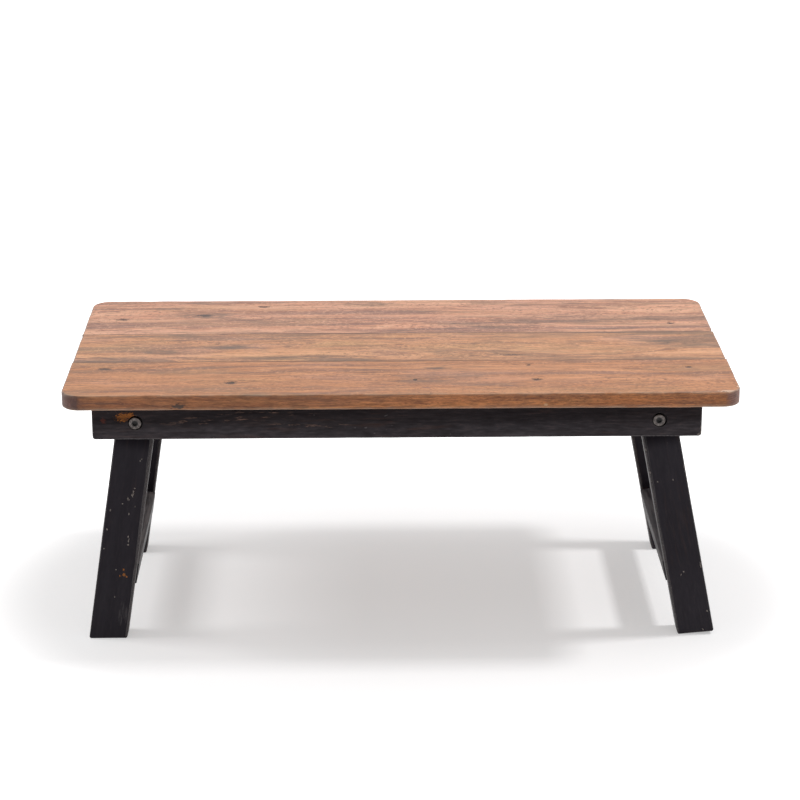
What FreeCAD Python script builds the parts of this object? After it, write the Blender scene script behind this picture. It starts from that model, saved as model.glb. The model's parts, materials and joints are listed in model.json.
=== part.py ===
import FreeCAD, Part
import math
import os
import Sketcher

# Low folding table: three boards on two long aprons and two end rails, and two leg frames
# that swing on bolts through the aprons and fold inwards, flat under the boards.
# +X runs along the boards, +Y away from the front apron and +Z up from the floor.

SIDES = ("left", "right")
ENDS = ("front", "back")
Y_AXIS = FreeCAD.Vector(0, 1, 0)
X_AXIS = FreeCAD.Vector(1, 0, 0)
QUARTER_TURN = 90
HEXAGON_SIDES = 6
TOLERANCE = 0.01

# Driving dimensions, in millimetres and degrees.
DRIVING_SIZES = {
    "table_height": "246.8",
    "top_length": "600",
    "front_board_width": "97",
    "middle_board_width": "87.6",
    "back_board_width": "115",
    "board_thickness": "14.6",
    "seam_gap": "0.2",
    "corner_radius": "17",
    "outer_arris": "1.6",
    "seam_arris": "0.4",
    "frame_shift": "-3.4",
    "apron_length": "542.6",
    "apron_height": "33",
    "apron_thickness": "15",
    "apron_setback": "18",
    "apron_corner": "2.5",
    "apron_arris": "0.8",
    "rail_thickness": "18",
    "stop_gap": "0.3",
    "swing_clearance": "0.6",
    "leg_thickness": "22",
    "leg_arris": "0.9",
    "foot_corner": "1.6",
    "left_leg_width": "34.8",
    "left_splay": "8.9",
    "left_foot_tilt": "0",
    "right_leg_width": "33.4",
    "right_splay": "11.3",
    "right_foot_tilt": "5",
    "stretcher_height": "20",
    "stretcher_thickness": "22",
    "stretcher_rise": "58",
    "stretcher_proud": "1",
    "stretcher_arris": "0.8",
    "bolt_diameter": "6",
    "bolt_head_diameter": "11.6",
    "bolt_head_height": "3.3",
    "bolt_head_round": "1.1",
    "bolt_socket_flats": "4",
    "bolt_socket_depth": "2.2",
    "bolt_tail": "2",
    "bolt_fit": "0.1",
    "bolt_running_fit": "0.06",
    "counterbore_diameter": "15",
    "counterbore_depth": "3.6",
    "spacer_diameter": "14",
    "spacer_thickness": "1",
    "axial_play": "0.1",
    "washer_diameter": "12.5",
    "washer_thickness": "1.6",
    "nut_flats": "10",
    "nut_height": "5",
    "nut_collar_diameter": "8.6",
    "nut_collar_height": "1.6",
    "screw_diameter": "4",
    "screw_head_diameter": "7.6",
    "screw_head_height": "2.6",
    "screw_drive_flats": "2.8",
    "screw_drive_depth": "1.6",
    "screw_tip_length": "4",
    "screw_fit": "0.06",
    "screw_tip_room": "0.5",
    "screw_head_sink": "0.4",
    "board_screw_grip": "15",
    "board_screw_bite": "9",
    "board_screw_pitch": "150",
    "middle_screw_spread": "36",
    "end_screw_rise": "17.6",
    "end_screw_bite": "24",
    "stretcher_screw_bite": "26",
}

# Places and lengths that follow from the driving dimensions.
SHARED_PLACES = {
    "underside": "sizes.table_height - sizes.board_thickness",
    "top_depth": "sizes.front_board_width + sizes.middle_board_width + sizes.back_board_width"
                 " + 2 * sizes.seam_gap",
    "front_edge": "-top_depth / 2",
    "middle_edge": "front_edge + sizes.front_board_width + sizes.seam_gap",
    "back_edge": "middle_edge + sizes.middle_board_width + sizes.seam_gap",
    "left_end": "sizes.frame_shift - sizes.apron_length / 2",
    "right_end": "sizes.frame_shift + sizes.apron_length / 2",
    "apron_bottom": "underside - sizes.apron_height",
    "apron_face": "top_depth / 2 - sizes.apron_setback",
    "apron_back": "apron_face - sizes.apron_thickness",
    "bolt_seat": "apron_face - sizes.counterbore_depth",
    "leg_face": "apron_back - sizes.spacer_thickness - sizes.axial_play",
    "leg_middle": "leg_face - sizes.leg_thickness / 2",
    "leg_inside": "leg_face - sizes.leg_thickness",
    "washer_seat": "leg_inside - sizes.axial_play",
    "nut_seat": "washer_seat - sizes.washer_thickness",
    "bolt_length": "bolt_seat - nut_seat + sizes.nut_height + sizes.nut_collar_height"
                   " + sizes.bolt_tail",
    "pivot_height": "underside - max(sizes.left_leg_width; sizes.right_leg_width) / 2"
                    " - sizes.swing_clearance",
    "pivot_rise": "pivot_height - apron_bottom",
    "board_screw_seat": "underside - sizes.board_screw_grip",
    "board_screw_sink": "board_screw_seat - apron_bottom",
    "board_screw_length": "sizes.board_screw_grip + sizes.board_screw_bite",
    "board_hole_depth": "sizes.board_screw_bite + sizes.screw_tip_room",
    "screw_hole": "sizes.screw_diameter + 2 * sizes.screw_fit",
    "screw_sink_hole": "sizes.screw_head_diameter + 2 * sizes.screw_fit",
    "screw_sink_depth": "sizes.screw_head_height + sizes.screw_head_sink",
    "end_screw_height": "apron_bottom + sizes.end_screw_rise",
    "end_screw_length": "sizes.apron_thickness - screw_sink_depth + sizes.end_screw_bite",
    "end_hole_depth": "sizes.end_screw_bite + sizes.screw_tip_room",
    "stretcher_screw_length": "sizes.leg_thickness - screw_sink_depth"
                              " + sizes.stretcher_screw_bite",
    "stretcher_hole_depth": "sizes.stretcher_screw_bite + sizes.screw_tip_room",
    "apron_screw_line": "(apron_face + apron_back) / 2",
    "rail_screw_front": "(middle_edge - sizes.seam_gap - apron_back) / 2",
    "rail_screw_middle_low": "middle_edge + sizes.middle_board_width / 2"
                             " - sizes.middle_screw_spread / 2",
    "rail_screw_middle_high": "rail_screw_middle_low + sizes.middle_screw_spread",
    "rail_screw_back": "(back_edge + apron_back) / 2",
    "left_rail_line": "left_end + sizes.rail_thickness / 2",
    "right_rail_line": "right_end - sizes.rail_thickness / 2",
}

# The same for each leg frame. The pivot lies where the open leg's outer edge meets the
# lower inner edge of the end rail, which is what stops the leg.
SIDE_PLACES = {
    "SIDE_half": "sizes.SIDE_leg_width / 2",
    "SIDE_pivot_inset": "sizes.rail_thickness"
                        " + (SIDE_half + sizes.stop_gap) / cos(sizes.SIDE_splay)"
                        " + pivot_rise * tan(sizes.SIDE_splay)",
    "SIDE_foot_inner": "(pivot_height - SIDE_half * sin(sizes.SIDE_splay))"
                       " / cos(sizes.SIDE_splay)",
    "SIDE_foot_outer": "SIDE_foot_inner"
                       " + sizes.SIDE_leg_width * tan(sizes.SIDE_splay - sizes.SIDE_foot_tilt)",
    "SIDE_stretcher_drop": "(pivot_height - sizes.stretcher_rise) / cos(sizes.SIDE_splay)",
    "SIDE_stretcher_inset": "SIDE_half + sizes.stretcher_proud - sizes.stretcher_thickness / 2",
}
PIVOT_PLACES = {
    "left_pivot": "left_end + left_pivot_inset",
    "right_pivot": "right_end - right_pivot_inset",
}

doc = FreeCAD.newDocument("folding_table")
nodes = []


def fill_sheet(name, cells):
    """Make a sheet with one named cell per entry, and return it."""
    sheet = doc.addObject("Spreadsheet::Sheet", name)
    for row, (alias, content) in enumerate(cells.items(), start=1):
        sheet.set(f"A{row}", alias)
        sheet.set(f"B{row}", content)
        sheet.setAlias(f"B{row}", alias)
    doc.recompute()
    return sheet


def place_cells():
    """Return every derived place as a formula."""
    cells = dict(SHARED_PLACES)
    for side in SIDES:
        for alias, formula in SIDE_PLACES.items():
            cells[alias.replace("SIDE", side)] = formula.replace("SIDE", side)
    cells.update(PIVOT_PLACES)
    return {alias: "=" + formula for alias, formula in cells.items()}


sizes = fill_sheet("sizes", DRIVING_SIZES)
places = fill_sheet("places", place_cells())


def place(alias):
    """Return the present value of a derived place."""
    return float(places.get(alias))


def bind(feature, **expressions):
    """Tie properties of a feature to expressions on the two sheets."""
    for path, expression in expressions.items():
        feature.setExpression(path.replace("__", "."), expression)


def new_body(label, x="0", y="0", z="0", turn=None):
    """Start a body, placed by expressions, that has its own node."""
    body = doc.addObject("PartDesign::Body", label)
    body.Label = label
    if turn:
        axis, angle = turn
        body.Placement = FreeCAD.Placement(FreeCAD.Vector(), FreeCAD.Rotation(axis, QUARTER_TURN))
        bind(body, Placement__Rotation__Angle=angle)
    bind(body, Placement__Base__x=x, Placement__Base__y=y, Placement__Base__z=z)
    return body


def keep(item):
    """List an object as a node of its own."""
    nodes.append(item)
    return item


def attach(feature, body, role, x="0", y="0", z="0"):
    """Attach a feature to one of its body's own planes, moved by expressions."""
    plane = next(item for item in body.Origin.OriginFeatures if item.Role == role)
    feature.AttachmentSupport = [(plane, "")]
    feature.MapMode = "FlatFace"
    bind(feature, AttachmentOffset__Base__x=x, AttachmentOffset__Base__y=y,
         AttachmentOffset__Base__z=z)


def block(body, length, width, height, x="0", y="0", z="0"):
    """Add a squared timber to a body."""
    box = body.newObject("PartDesign::AdditiveBox", "Block")
    attach(box, body, "XY_Plane", x, y, z)
    bind(box, Length=length, Width=width, Height=height)
    doc.recompute()
    return box


def rod(body, kind, diameter, height, z="0"):
    """Add or cut a cylinder on a body's own Z axis."""
    cylinder = body.newObject(f"PartDesign::{kind}Cylinder", "Rod")
    attach(cylinder, body, "XY_Plane", z=z)
    bind(cylinder, Radius=f"({diameter}) / 2", Height=height)
    doc.recompute()
    return cylinder


def hexagon(body, kind, flats, height, z="0"):
    """Add or cut a six-sided prism on a body's own Z axis."""
    prism = body.newObject(f"PartDesign::{kind}Prism", "Hexagon")
    prism.Polygon = HEXAGON_SIDES
    attach(prism, body, "XY_Plane", z=z)
    bind(prism, Circumradius=f"({flats}) / 2 / cos(180 / {HEXAGON_SIDES})", Height=height)
    doc.recompute()
    return prism


def drill_along_y(body, diameter, x, z, start, depth):
    """Drill a hole that runs from y = start to y = start + depth."""
    hole = body.newObject("PartDesign::SubtractiveCylinder", "Hole")
    attach(hole, body, "XZ_Plane", x, z, f"-({start}) - ({depth})")
    bind(hole, Radius=f"({diameter}) / 2", Height=depth)


def drill_along_z(body, diameter, x, y, start, depth):
    """Drill a hole that runs from z = start to z = start + depth."""
    hole = body.newObject("PartDesign::SubtractiveCylinder", "Hole")
    attach(hole, body, "XY_Plane", x, y, start)
    bind(hole, Radius=f"({diameter}) / 2", Height=depth)


def round_edges(body, radius, wanted):
    """Round the edges of a body's last feature that a test picks out."""
    doc.recompute()
    base = body.Tip
    names = [f"Edge{number}" for number, edge in enumerate(base.Shape.Edges, start=1)
             if wanted(edge)]
    fillet = body.newObject("PartDesign::Fillet", "Rounding")
    fillet.Base = (base, names)
    bind(fillet, Radius=radius)
    doc.recompute()


def near(first, second):
    """Tell whether two lengths agree."""
    return abs(first - second) < TOLERANCE


def is_straight(edge, axis):
    """Tell whether an edge is a straight line along an axis."""
    if edge.Curve.TypeId != "Part::GeomLine":
        return False
    return near(abs(edge.Curve.Direction.dot(axis)), 1)


def make_board(label, front, width, rounded_front, rounded_back, screws):
    """Make one board of the top, with its pilot holes and its rounded corners."""
    body = keep(new_body(label, "-sizes.top_length / 2", front, "places.underside"))
    block(body, "sizes.top_length", width, "sizes.board_thickness")
    for x, y in screws:
        drill_along_z(body, "places.screw_hole", f"{x} + sizes.top_length / 2", f"{y} - ({front})",
                      "0", "places.board_hole_depth")
    doc.recompute()
    box = body.Shape.BoundBox
    depth = box.YLength
    thickness = box.ZLength

    def at_outer_corner(edge):
        middle = edge.BoundBox.Center
        on_end = near(middle.x, 0) or near(middle.x, box.XLength)
        on_side = (rounded_front and near(middle.y, 0)) or (rounded_back and near(middle.y, depth))
        return is_straight(edge, FreeCAD.Vector(0, 0, 1)) and on_end and on_side

    def on_seam(edge):
        middle = edge.BoundBox.Center
        seam_in_front = not rounded_front and near(middle.y, 0)
        seam_behind = not rounded_back and near(middle.y, depth)
        return near(edge.BoundBox.ZMin, thickness) and (seam_in_front or seam_behind)

    def on_outer_rim(edge):
        on_face = near(edge.BoundBox.ZLength, 0)
        outer_face = near(edge.BoundBox.ZMin, thickness) or near(edge.BoundBox.ZMin, 0)
        seam = near(edge.BoundBox.YLength, 0) and not (
            (rounded_front and near(edge.BoundBox.YMin, 0))
            or (rounded_back and near(edge.BoundBox.YMin, depth)))
        return on_face and outer_face and not edge.isClosed() and not seam

    if rounded_front or rounded_back:
        round_edges(body, "sizes.corner_radius", at_outer_corner)
    round_edges(body, "sizes.outer_arris", on_outer_rim)
    round_edges(body, "sizes.seam_arris", on_seam)


def make_top():
    """Make the three boards, each held from below by screws."""
    apron_row = [f"sizes.frame_shift + {step} * sizes.board_screw_pitch" for step in (-1, 0, 1)]
    rail_row = [f"places.{side}_rail_line" for side in SIDES]
    front_screws = [(x, "-places.apron_screw_line") for x in apron_row]
    front_screws += [(x, "places.rail_screw_front") for x in rail_row]
    middle_screws = [(x, f"places.rail_screw_middle_{step}") for x in rail_row
                     for step in ("low", "high")]
    back_screws = [(x, "places.apron_screw_line") for x in apron_row]
    back_screws += [(x, "places.rail_screw_back") for x in rail_row]
    make_board("front_board", "places.front_edge", "sizes.front_board_width", True, False,
               front_screws)
    make_board("middle_board", "places.middle_edge", "sizes.middle_board_width", False, False,
               middle_screws)
    make_board("back_board", "places.back_edge", "sizes.back_board_width", False, True,
               back_screws)


def make_apron(end):
    """Make one apron, with its bolt holes, end screw holes and board screw holes."""
    front = end == "front"
    face = "-places.apron_face" if front else "places.apron_back"
    body = keep(new_body(f"{end}_apron", "places.left_end", face, "places.apron_bottom"))
    block(body, "sizes.apron_length", "sizes.apron_thickness", "sizes.apron_height")
    bolt_sink = "0" if front else "sizes.apron_thickness - sizes.counterbore_depth"
    screw_sink = "0" if front else "sizes.apron_thickness - places.screw_sink_depth"
    for side in SIDES:
        bolt_x = f"places.{side}_pivot - places.left_end"
        drill_along_y(body, "sizes.counterbore_diameter", bolt_x, "places.pivot_rise", bolt_sink,
                      "sizes.counterbore_depth")
        drill_along_y(body, "sizes.bolt_diameter + 2 * sizes.bolt_fit", bolt_x,
                      "places.pivot_rise", "0", "sizes.apron_thickness")
        screw_x = f"places.{side}_rail_line - places.left_end"
        drill_along_y(body, "places.screw_sink_hole", screw_x, "sizes.end_screw_rise", screw_sink,
                      "places.screw_sink_depth")
        drill_along_y(body, "places.screw_hole", screw_x, "sizes.end_screw_rise", "0",
                      "sizes.apron_thickness")
    for step in (-1, 0, 1):
        screw_x = f"sizes.apron_length / 2 + {step} * sizes.board_screw_pitch"
        drill_along_z(body, "places.screw_sink_hole", screw_x, "sizes.apron_thickness / 2", "0",
                      "places.board_screw_sink")
        drill_along_z(body, "places.screw_hole", screw_x, "sizes.apron_thickness / 2", "0",
                      "sizes.apron_height")
    doc.recompute()
    length = body.Shape.BoundBox.XLength

    def at_lower_corner(edge):
        middle = edge.BoundBox.Center
        on_end = near(middle.x, 0) or near(middle.x, length)
        return is_straight(edge, Y_AXIS) and on_end and near(middle.z, 0)

    def on_lower_arris(edge):
        return is_straight(edge, X_AXIS) and near(edge.BoundBox.ZMax, 0)

    round_edges(body, "sizes.apron_corner", at_lower_corner)
    round_edges(body, "sizes.apron_arris", on_lower_arris)


def make_rail(side):
    """Make one end rail, which ties the aprons and boards and stops the open legs."""
    left = f"places.{side}_rail_line - sizes.rail_thickness / 2"
    body = keep(new_body(f"{side}_end_rail", left, "-places.apron_back", "places.apron_bottom"))
    block(body, "sizes.rail_thickness", "2 * places.apron_back", "sizes.apron_height")
    middle = "sizes.rail_thickness / 2"
    for step in ("front", "middle_low", "middle_high", "back"):
        screw_y = f"places.rail_screw_{step} + places.apron_back"
        drill_along_z(body, "places.screw_sink_hole", middle, screw_y, "0",
                      "places.board_screw_sink")
        drill_along_z(body, "places.screw_hole", middle, screw_y, "0", "sizes.apron_height")
    drill_along_y(body, "places.screw_hole", middle, "sizes.end_screw_rise", "0",
                  "places.end_hole_depth")
    drill_along_y(body, "places.screw_hole", middle, "sizes.end_screw_rise",
                  "2 * places.apron_back - places.end_hole_depth", "places.end_hole_depth")
    doc.recompute()


def facing(end, y, z, x):
    """Return the placing of a fastener that points from an outer face into the table."""
    if end == "front":
        return {"x": x, "y": f"-({y})", "z": z, "turn": (-X_AXIS, str(QUARTER_TURN))}
    return {"x": x, "y": y, "z": z, "turn": (X_AXIS, str(QUARTER_TURN))}


def make_pivot(side, end):
    """Make one pivot: its bolt, the spacer outside the leg, and the washer and nut inside."""
    pivot = {"x": f"places.{side}_pivot", "z": "places.pivot_height"}
    name = f"{side}_{end}"
    bore = "sizes.bolt_diameter + 2 * sizes.bolt_fit"

    bolt = keep(new_body(f"{name}_pivot_bolt", **facing(end, "places.bolt_seat", **pivot)))
    rod(bolt, "Additive", "sizes.bolt_head_diameter", "sizes.bolt_head_height",
        "-sizes.bolt_head_height")
    rod(bolt, "Additive", "sizes.bolt_diameter", "places.bolt_length")
    round_edges(bolt, "sizes.bolt_head_round",
                lambda edge: near(edge.BoundBox.ZMax, bolt.Tip.Shape.BoundBox.ZMin))
    hexagon(bolt, "Subtractive", "sizes.bolt_socket_flats", "sizes.bolt_socket_depth",
            "-sizes.bolt_head_height")

    spacer = keep(new_body(f"{name}_spacer", **facing(end, "places.apron_back", **pivot)))
    rod(spacer, "Additive", "sizes.spacer_diameter", "sizes.spacer_thickness")
    rod(spacer, "Subtractive", bore, "sizes.spacer_thickness")

    washer = keep(new_body(f"{name}_washer", **facing(end, "places.washer_seat", **pivot)))
    rod(washer, "Additive", "sizes.washer_diameter", "sizes.washer_thickness")
    rod(washer, "Subtractive", bore, "sizes.washer_thickness")

    nut = keep(new_body(f"{name}_lock_nut", **facing(end, "places.nut_seat", **pivot)))
    hexagon(nut, "Additive", "sizes.nut_flats", "sizes.nut_height")
    rod(nut, "Additive", "sizes.nut_collar_diameter",
        "sizes.nut_height + sizes.nut_collar_height")
    rod(nut, "Subtractive", bore, "sizes.nut_height + sizes.nut_collar_height")


def make_screw(name, length, placing):
    """Make one wood screw with a square drive, its head's underside at its own origin."""
    body = new_body(name, **placing)
    rod(body, "Additive", "sizes.screw_head_diameter", "sizes.screw_head_height",
        "-sizes.screw_head_height")
    rod(body, "Additive", "sizes.screw_diameter", f"{length} - sizes.screw_tip_length")
    tip = body.newObject("PartDesign::AdditiveCone", "Tip")
    attach(tip, body, "XY_Plane", z=f"{length} - sizes.screw_tip_length")
    tip.Radius2 = 0
    bind(tip, Radius1="sizes.screw_diameter / 2", Height="sizes.screw_tip_length")
    drive = body.newObject("PartDesign::SubtractiveBox", "Drive")
    attach(drive, body, "XY_Plane", "-sizes.screw_drive_flats / 2", "-sizes.screw_drive_flats / 2",
           "-sizes.screw_head_height")
    bind(drive, Length="sizes.screw_drive_flats", Width="sizes.screw_drive_flats",
         Height="sizes.screw_drive_depth")
    doc.recompute()
    return body


def make_screw_group(label, length, placings):
    """Make a set of alike screws as one node of separate solids."""
    group = doc.addObject("Part::Compound", label)
    group.Label = label
    group.Links = [make_screw(f"{label}_{number}", length, placing)
                   for number, placing in enumerate(placings, start=1)]
    doc.recompute()
    keep(group)


def make_frame_screws():
    """Make the screws that hold the boards, the aprons and the end rails together."""
    for side in SIDES:
        line = f"places.{side}_rail_line"
        make_screw_group(f"{side}_rail_screws", "places.board_screw_length",
                         [{"x": line, "y": f"places.rail_screw_{step}",
                           "z": "places.board_screw_seat"}
                          for step in ("front", "middle_low", "middle_high", "back")])
    for end in ENDS:
        sign = "-" if end == "front" else ""
        make_screw_group(f"{end}_apron_screws", "places.board_screw_length",
                         [{"x": f"sizes.frame_shift + {step} * sizes.board_screw_pitch",
                           "y": f"{sign}places.apron_screw_line", "z": "places.board_screw_seat"}
                          for step in (-1, 0, 1)])
        make_screw_group(f"{end}_corner_screws", "places.end_screw_length",
                         [facing(end, "places.apron_face - places.screw_sink_depth",
                                 "places.end_screw_height", f"places.{side}_rail_line")
                          for side in SIDES])


def leg_profile(body, side):
    """Draw a leg's outline with its round head, slanting foot, bolt hole and screw hole."""
    half = place(f"{side}_half")
    outer = place(f"{side}_foot_outer")
    inner = place(f"{side}_foot_inner")
    low_x, high_x = (outer, inner) if side == "left" else (inner, outer)
    sketch = body.newObject("Sketcher::SketchObject", "Outline")
    attach(sketch, body, "XZ_Plane")
    corners = [FreeCAD.Vector(-half, 0), FreeCAD.Vector(-half, -low_x),
               FreeCAD.Vector(half, -high_x), FreeCAD.Vector(half, 0)]
    edges = [sketch.addGeometry(Part.LineSegment(first, last), False)
             for first, last in zip(corners, corners[1:])]
    circle = Part.Circle(FreeCAD.Vector(), FreeCAD.Vector(0, 0, 1), half)
    head = sketch.addGeometry(Part.ArcOfCircle(circle, 0, math.pi), False)
    pivot = sketch.addGeometry(Part.Circle(circle), False)
    drop = FreeCAD.Vector(0, -place(f"{side}_stretcher_drop"))
    screw = sketch.addGeometry(Part.Circle(drop, FreeCAD.Vector(0, 0, 1), half), False)

    def fix(*terms):
        return sketch.addConstraint(Sketcher.Constraint(*terms))

    def measure(name, expression, *terms):
        index = fix(*terms)
        sketch.renameConstraint(index, name)
        sketch.setExpression(f"Constraints.{name}", expression)

    start, end, centre = 1, 2, 3
    origin = -1
    upright = -2
    fix("Coincident", edges[0], end, edges[1], start)
    fix("Coincident", edges[1], end, edges[2], start)
    fix("Coincident", head, centre, origin, start)
    fix("Coincident", pivot, centre, origin, start)
    fix("PointOnObject", screw, centre, upright)
    fix("Vertical", edges[0])
    fix("Vertical", edges[2])
    fix("Tangent", head, end, edges[0], start)
    fix("Tangent", edges[2], end, head, start)
    measure("head_radius", f"places.{side}_half", "Radius", head, half)
    measure("bolt_hole", "sizes.bolt_diameter / 2 + sizes.bolt_running_fit", "Radius", pivot, half)
    measure("screw_hole", "places.screw_hole / 2", "Radius", screw, half)
    lengths = ("outer", "inner") if side == "left" else ("inner", "outer")
    measure("low_foot", f"places.{side}_foot_{lengths[0]}", "DistanceY", edges[0], end, origin,
            start, low_x)
    measure("high_foot", f"places.{side}_foot_{lengths[1]}", "DistanceY", edges[1], end, origin,
            start, high_x)
    measure("screw_drop", f"places.{side}_stretcher_drop", "DistanceY", screw, centre, origin,
            start, -drop.y)
    return sketch


def frame_placing(side, y="0"):
    """Return the placing of a piece of a leg frame: about its pivot, leaning out to open."""
    axis = Y_AXIS if side == "left" else -Y_AXIS
    return {"x": f"places.{side}_pivot", "y": y, "z": "places.pivot_height",
            "turn": (axis, f"sizes.{side}_splay")}


def make_leg(side, end):
    """Make one leg, upright about its own pivot and then leaned out."""
    front = end == "front"
    middle = "-places.leg_middle" if front else "places.leg_middle"
    body = keep(new_body(f"{side}_{end}_leg", **frame_placing(side, middle)))
    pad = body.newObject("PartDesign::Pad", "Plank")
    pad.Profile = leg_profile(body, side)
    pad.Midplane = True
    bind(pad, Length="sizes.leg_thickness")
    sink = "sizes.leg_thickness / 2 - places.screw_sink_depth"
    if front:
        sink = "-sizes.leg_thickness / 2"
    drill_along_y(body, "places.screw_sink_hole", "0", f"-places.{side}_stretcher_drop", sink,
                  "places.screw_sink_depth")
    doc.recompute()
    shape = body.Tip.Shape
    half_thickness = shape.BoundBox.YLength / 2
    upper_corner = -min(place(f"{side}_foot_inner"), place(f"{side}_foot_outer"))

    def at_foot_corner(edge):
        return is_straight(edge, Y_AXIS) and edge.BoundBox.ZMax < upper_corner + TOLERANCE

    def on_long_arris(edge):
        on_face = near(abs(edge.BoundBox.Center.y), half_thickness)
        return on_face and near(edge.BoundBox.YLength, 0) and not edge.isClosed()

    round_edges(body, "sizes.foot_corner", at_foot_corner)
    round_edges(body, "sizes.leg_arris", on_long_arris)


def make_stretcher(side):
    """Make the bar that ties the two legs of one frame."""
    body = keep(new_body(f"{side}_stretcher", **frame_placing(side)))
    sign = "" if side == "left" else "-"
    centre = f"{sign}(places.{side}_stretcher_inset)"
    block(body, "sizes.stretcher_thickness", "2 * places.leg_inside", "sizes.stretcher_height",
          f"{centre} - sizes.stretcher_thickness / 2", "-places.leg_inside",
          f"-places.{side}_stretcher_drop - sizes.stretcher_height / 2")
    drop = f"-places.{side}_stretcher_drop"
    drill_along_y(body, "places.screw_hole", "0", drop, "-places.leg_inside",
                  "places.stretcher_hole_depth")
    drill_along_y(body, "places.screw_hole", "0", drop,
                  "places.leg_inside - places.stretcher_hole_depth", "places.stretcher_hole_depth")
    round_edges(body, "sizes.stretcher_arris", lambda edge: is_straight(edge, Y_AXIS))


def make_stretcher_screws(side):
    """Make the two screws through the legs into the ends of their stretcher."""
    outward = "-" if side == "left" else "+"
    x = f"places.{side}_pivot {outward} places.{side}_stretcher_drop * sin(sizes.{side}_splay)"
    make_screw_group(f"{side}_stretcher_screws", "places.stretcher_screw_length",
                     [facing(end, "places.leg_face - places.screw_sink_depth",
                             "sizes.stretcher_rise", x) for end in ENDS])


def build():
    """Make every piece of the table."""
    make_top()
    for end in ENDS:
        make_apron(end)
    for side in SIDES:
        make_rail(side)
    make_frame_screws()
    for side in SIDES:
        for end in ENDS:
            make_pivot(side, end)
            make_leg(side, end)
        make_stretcher(side)
        make_stretcher_screws(side)
    doc.recompute()


def check():
    """Stop if any object failed or any piece has no sound solid."""
    for item in doc.Objects:
        if "Invalid" in item.State or "Error" in item.State:
            raise RuntimeError(f"{item.Label} failed: {item.State}")
    for item in nodes:
        if item.Shape.isNull() or not item.Shape.isValid():
            raise RuntimeError(f"{item.Label} has no sound solid")


def write():
    """Write each piece to its own file."""
    os.makedirs("parts", exist_ok=True)
    for item in nodes:
        item.Shape.exportStep(f"parts/{item.Label}.step")
        print(f"{item.Label}: {len(item.Shape.Solids)} solids, {item.Shape.Volume:.0f} mm3")


build()
check()
write()
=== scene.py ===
"""Looks of a low folding table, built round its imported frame.

Three worn boards lie on black painted aprons and end rails, and two painted leg frames swing on
steel bolts. Lengths are in metres, in the frame's own axes: +X along the boards, +Y away from the
front apron and +Z up from the floor.
"""

import json
import logging
import math
from collections.abc import Callable, Sequence
from dataclasses import dataclass, field, replace
from enum import Enum

import bmesh
import bpy
from mathutils import Matrix, Vector, kdtree, noise


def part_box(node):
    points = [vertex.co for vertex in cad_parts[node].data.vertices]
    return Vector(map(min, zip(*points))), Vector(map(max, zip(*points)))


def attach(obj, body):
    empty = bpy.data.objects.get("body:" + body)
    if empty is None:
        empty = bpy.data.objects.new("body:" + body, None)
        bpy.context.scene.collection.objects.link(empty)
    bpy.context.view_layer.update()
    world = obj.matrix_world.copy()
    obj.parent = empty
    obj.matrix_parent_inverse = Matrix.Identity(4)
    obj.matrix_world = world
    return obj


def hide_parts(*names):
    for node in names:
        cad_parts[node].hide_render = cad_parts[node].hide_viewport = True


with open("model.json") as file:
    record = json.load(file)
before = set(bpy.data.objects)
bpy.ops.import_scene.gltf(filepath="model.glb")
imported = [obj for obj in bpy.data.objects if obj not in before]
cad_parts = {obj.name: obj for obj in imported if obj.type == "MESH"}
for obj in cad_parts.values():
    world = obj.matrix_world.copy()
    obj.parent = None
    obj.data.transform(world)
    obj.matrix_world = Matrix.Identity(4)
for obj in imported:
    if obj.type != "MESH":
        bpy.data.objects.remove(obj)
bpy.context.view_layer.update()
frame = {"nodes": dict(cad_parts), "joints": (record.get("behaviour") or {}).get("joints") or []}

LOG = logging.getLogger("folding_table")
MM = 0.001
X_AXIS = Vector((1.0, 0.0, 0.0))
Y_AXIS = Vector((0.0, 1.0, 0.0))
Z_AXIS = Vector((0.0, 0.0, 1.0))
WHITE = (1.0, 1.0, 1.0)
TOP_BODY = "table_top"
BEYOND = 1 * MM
END_SHARE = 0.2
WELD = 0.001 * MM

Colour = tuple[float, float, float]
Span = tuple[float, float]
Socket = bpy.types.NodeSocket
Feed = float | Colour | Socket


class Named(Enum):
    """Options that the frame's nodes are named by."""

    @property
    def word(self) -> str:
        """The option as the frame's nodes spell it."""
        return self.name.lower()


class Side(Named):
    """The two leg frames, and the way each leans out along X."""

    LEFT = -1
    RIGHT = 1


class End(Named):
    """The front and the back of the table, and the way each faces along Y."""

    FRONT = -1
    BACK = 1


class Layout(Enum):
    """Where a finish reads its places: along a plank's grain, or in the frame's own axes."""

    GRAIN = "grain"
    FRAME = "frame"


class MarkKind(Enum):
    """What a single mark on a plank is."""

    KNOT = "knot"
    NAIL = "nail"
    STAIN = "stain"
    SPLIT = "split"
    CHIP = "chip"
    RUST = "rust"
    RUB = "rub"
    SCUFF = "scuff"
    PLUG = "plug"

    def at(self, *sizes: tuple[float, ...]) -> tuple["Mark", ...]:
        """Return marks of this kind, by their places and sizes."""
        return tuple(Mark(self, *size) for size in sizes)


HOLLOWS = {MarkKind.KNOT: 0.25 * MM, MarkKind.NAIL: 0.9 * MM, MarkKind.SPLIT: 0.35 * MM}


@dataclass(frozen=True)
class Mark:
    """One mark on a plank, in millimetres in the plank's own plane.

    Attributes:
        kind: What it is.
        along: Its middle along the grain.
        across: Its middle across the grain.
        length: Its size along the grain.
        width: Its size across the grain.
        level: Its middle through the thickness, where it does not go through.
        depth: Its size through the thickness, or 0 where it goes through.
    """

    kind: MarkKind
    along: float
    across: float
    length: float
    width: float
    level: float = 0.0
    depth: float = 0.0


def of_kind(marks: Sequence[Mark], *kinds: MarkKind) -> list[Mark]:
    """Return the marks that are of some kinds."""
    return [mark for mark in marks if mark.kind in kinds]


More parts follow.
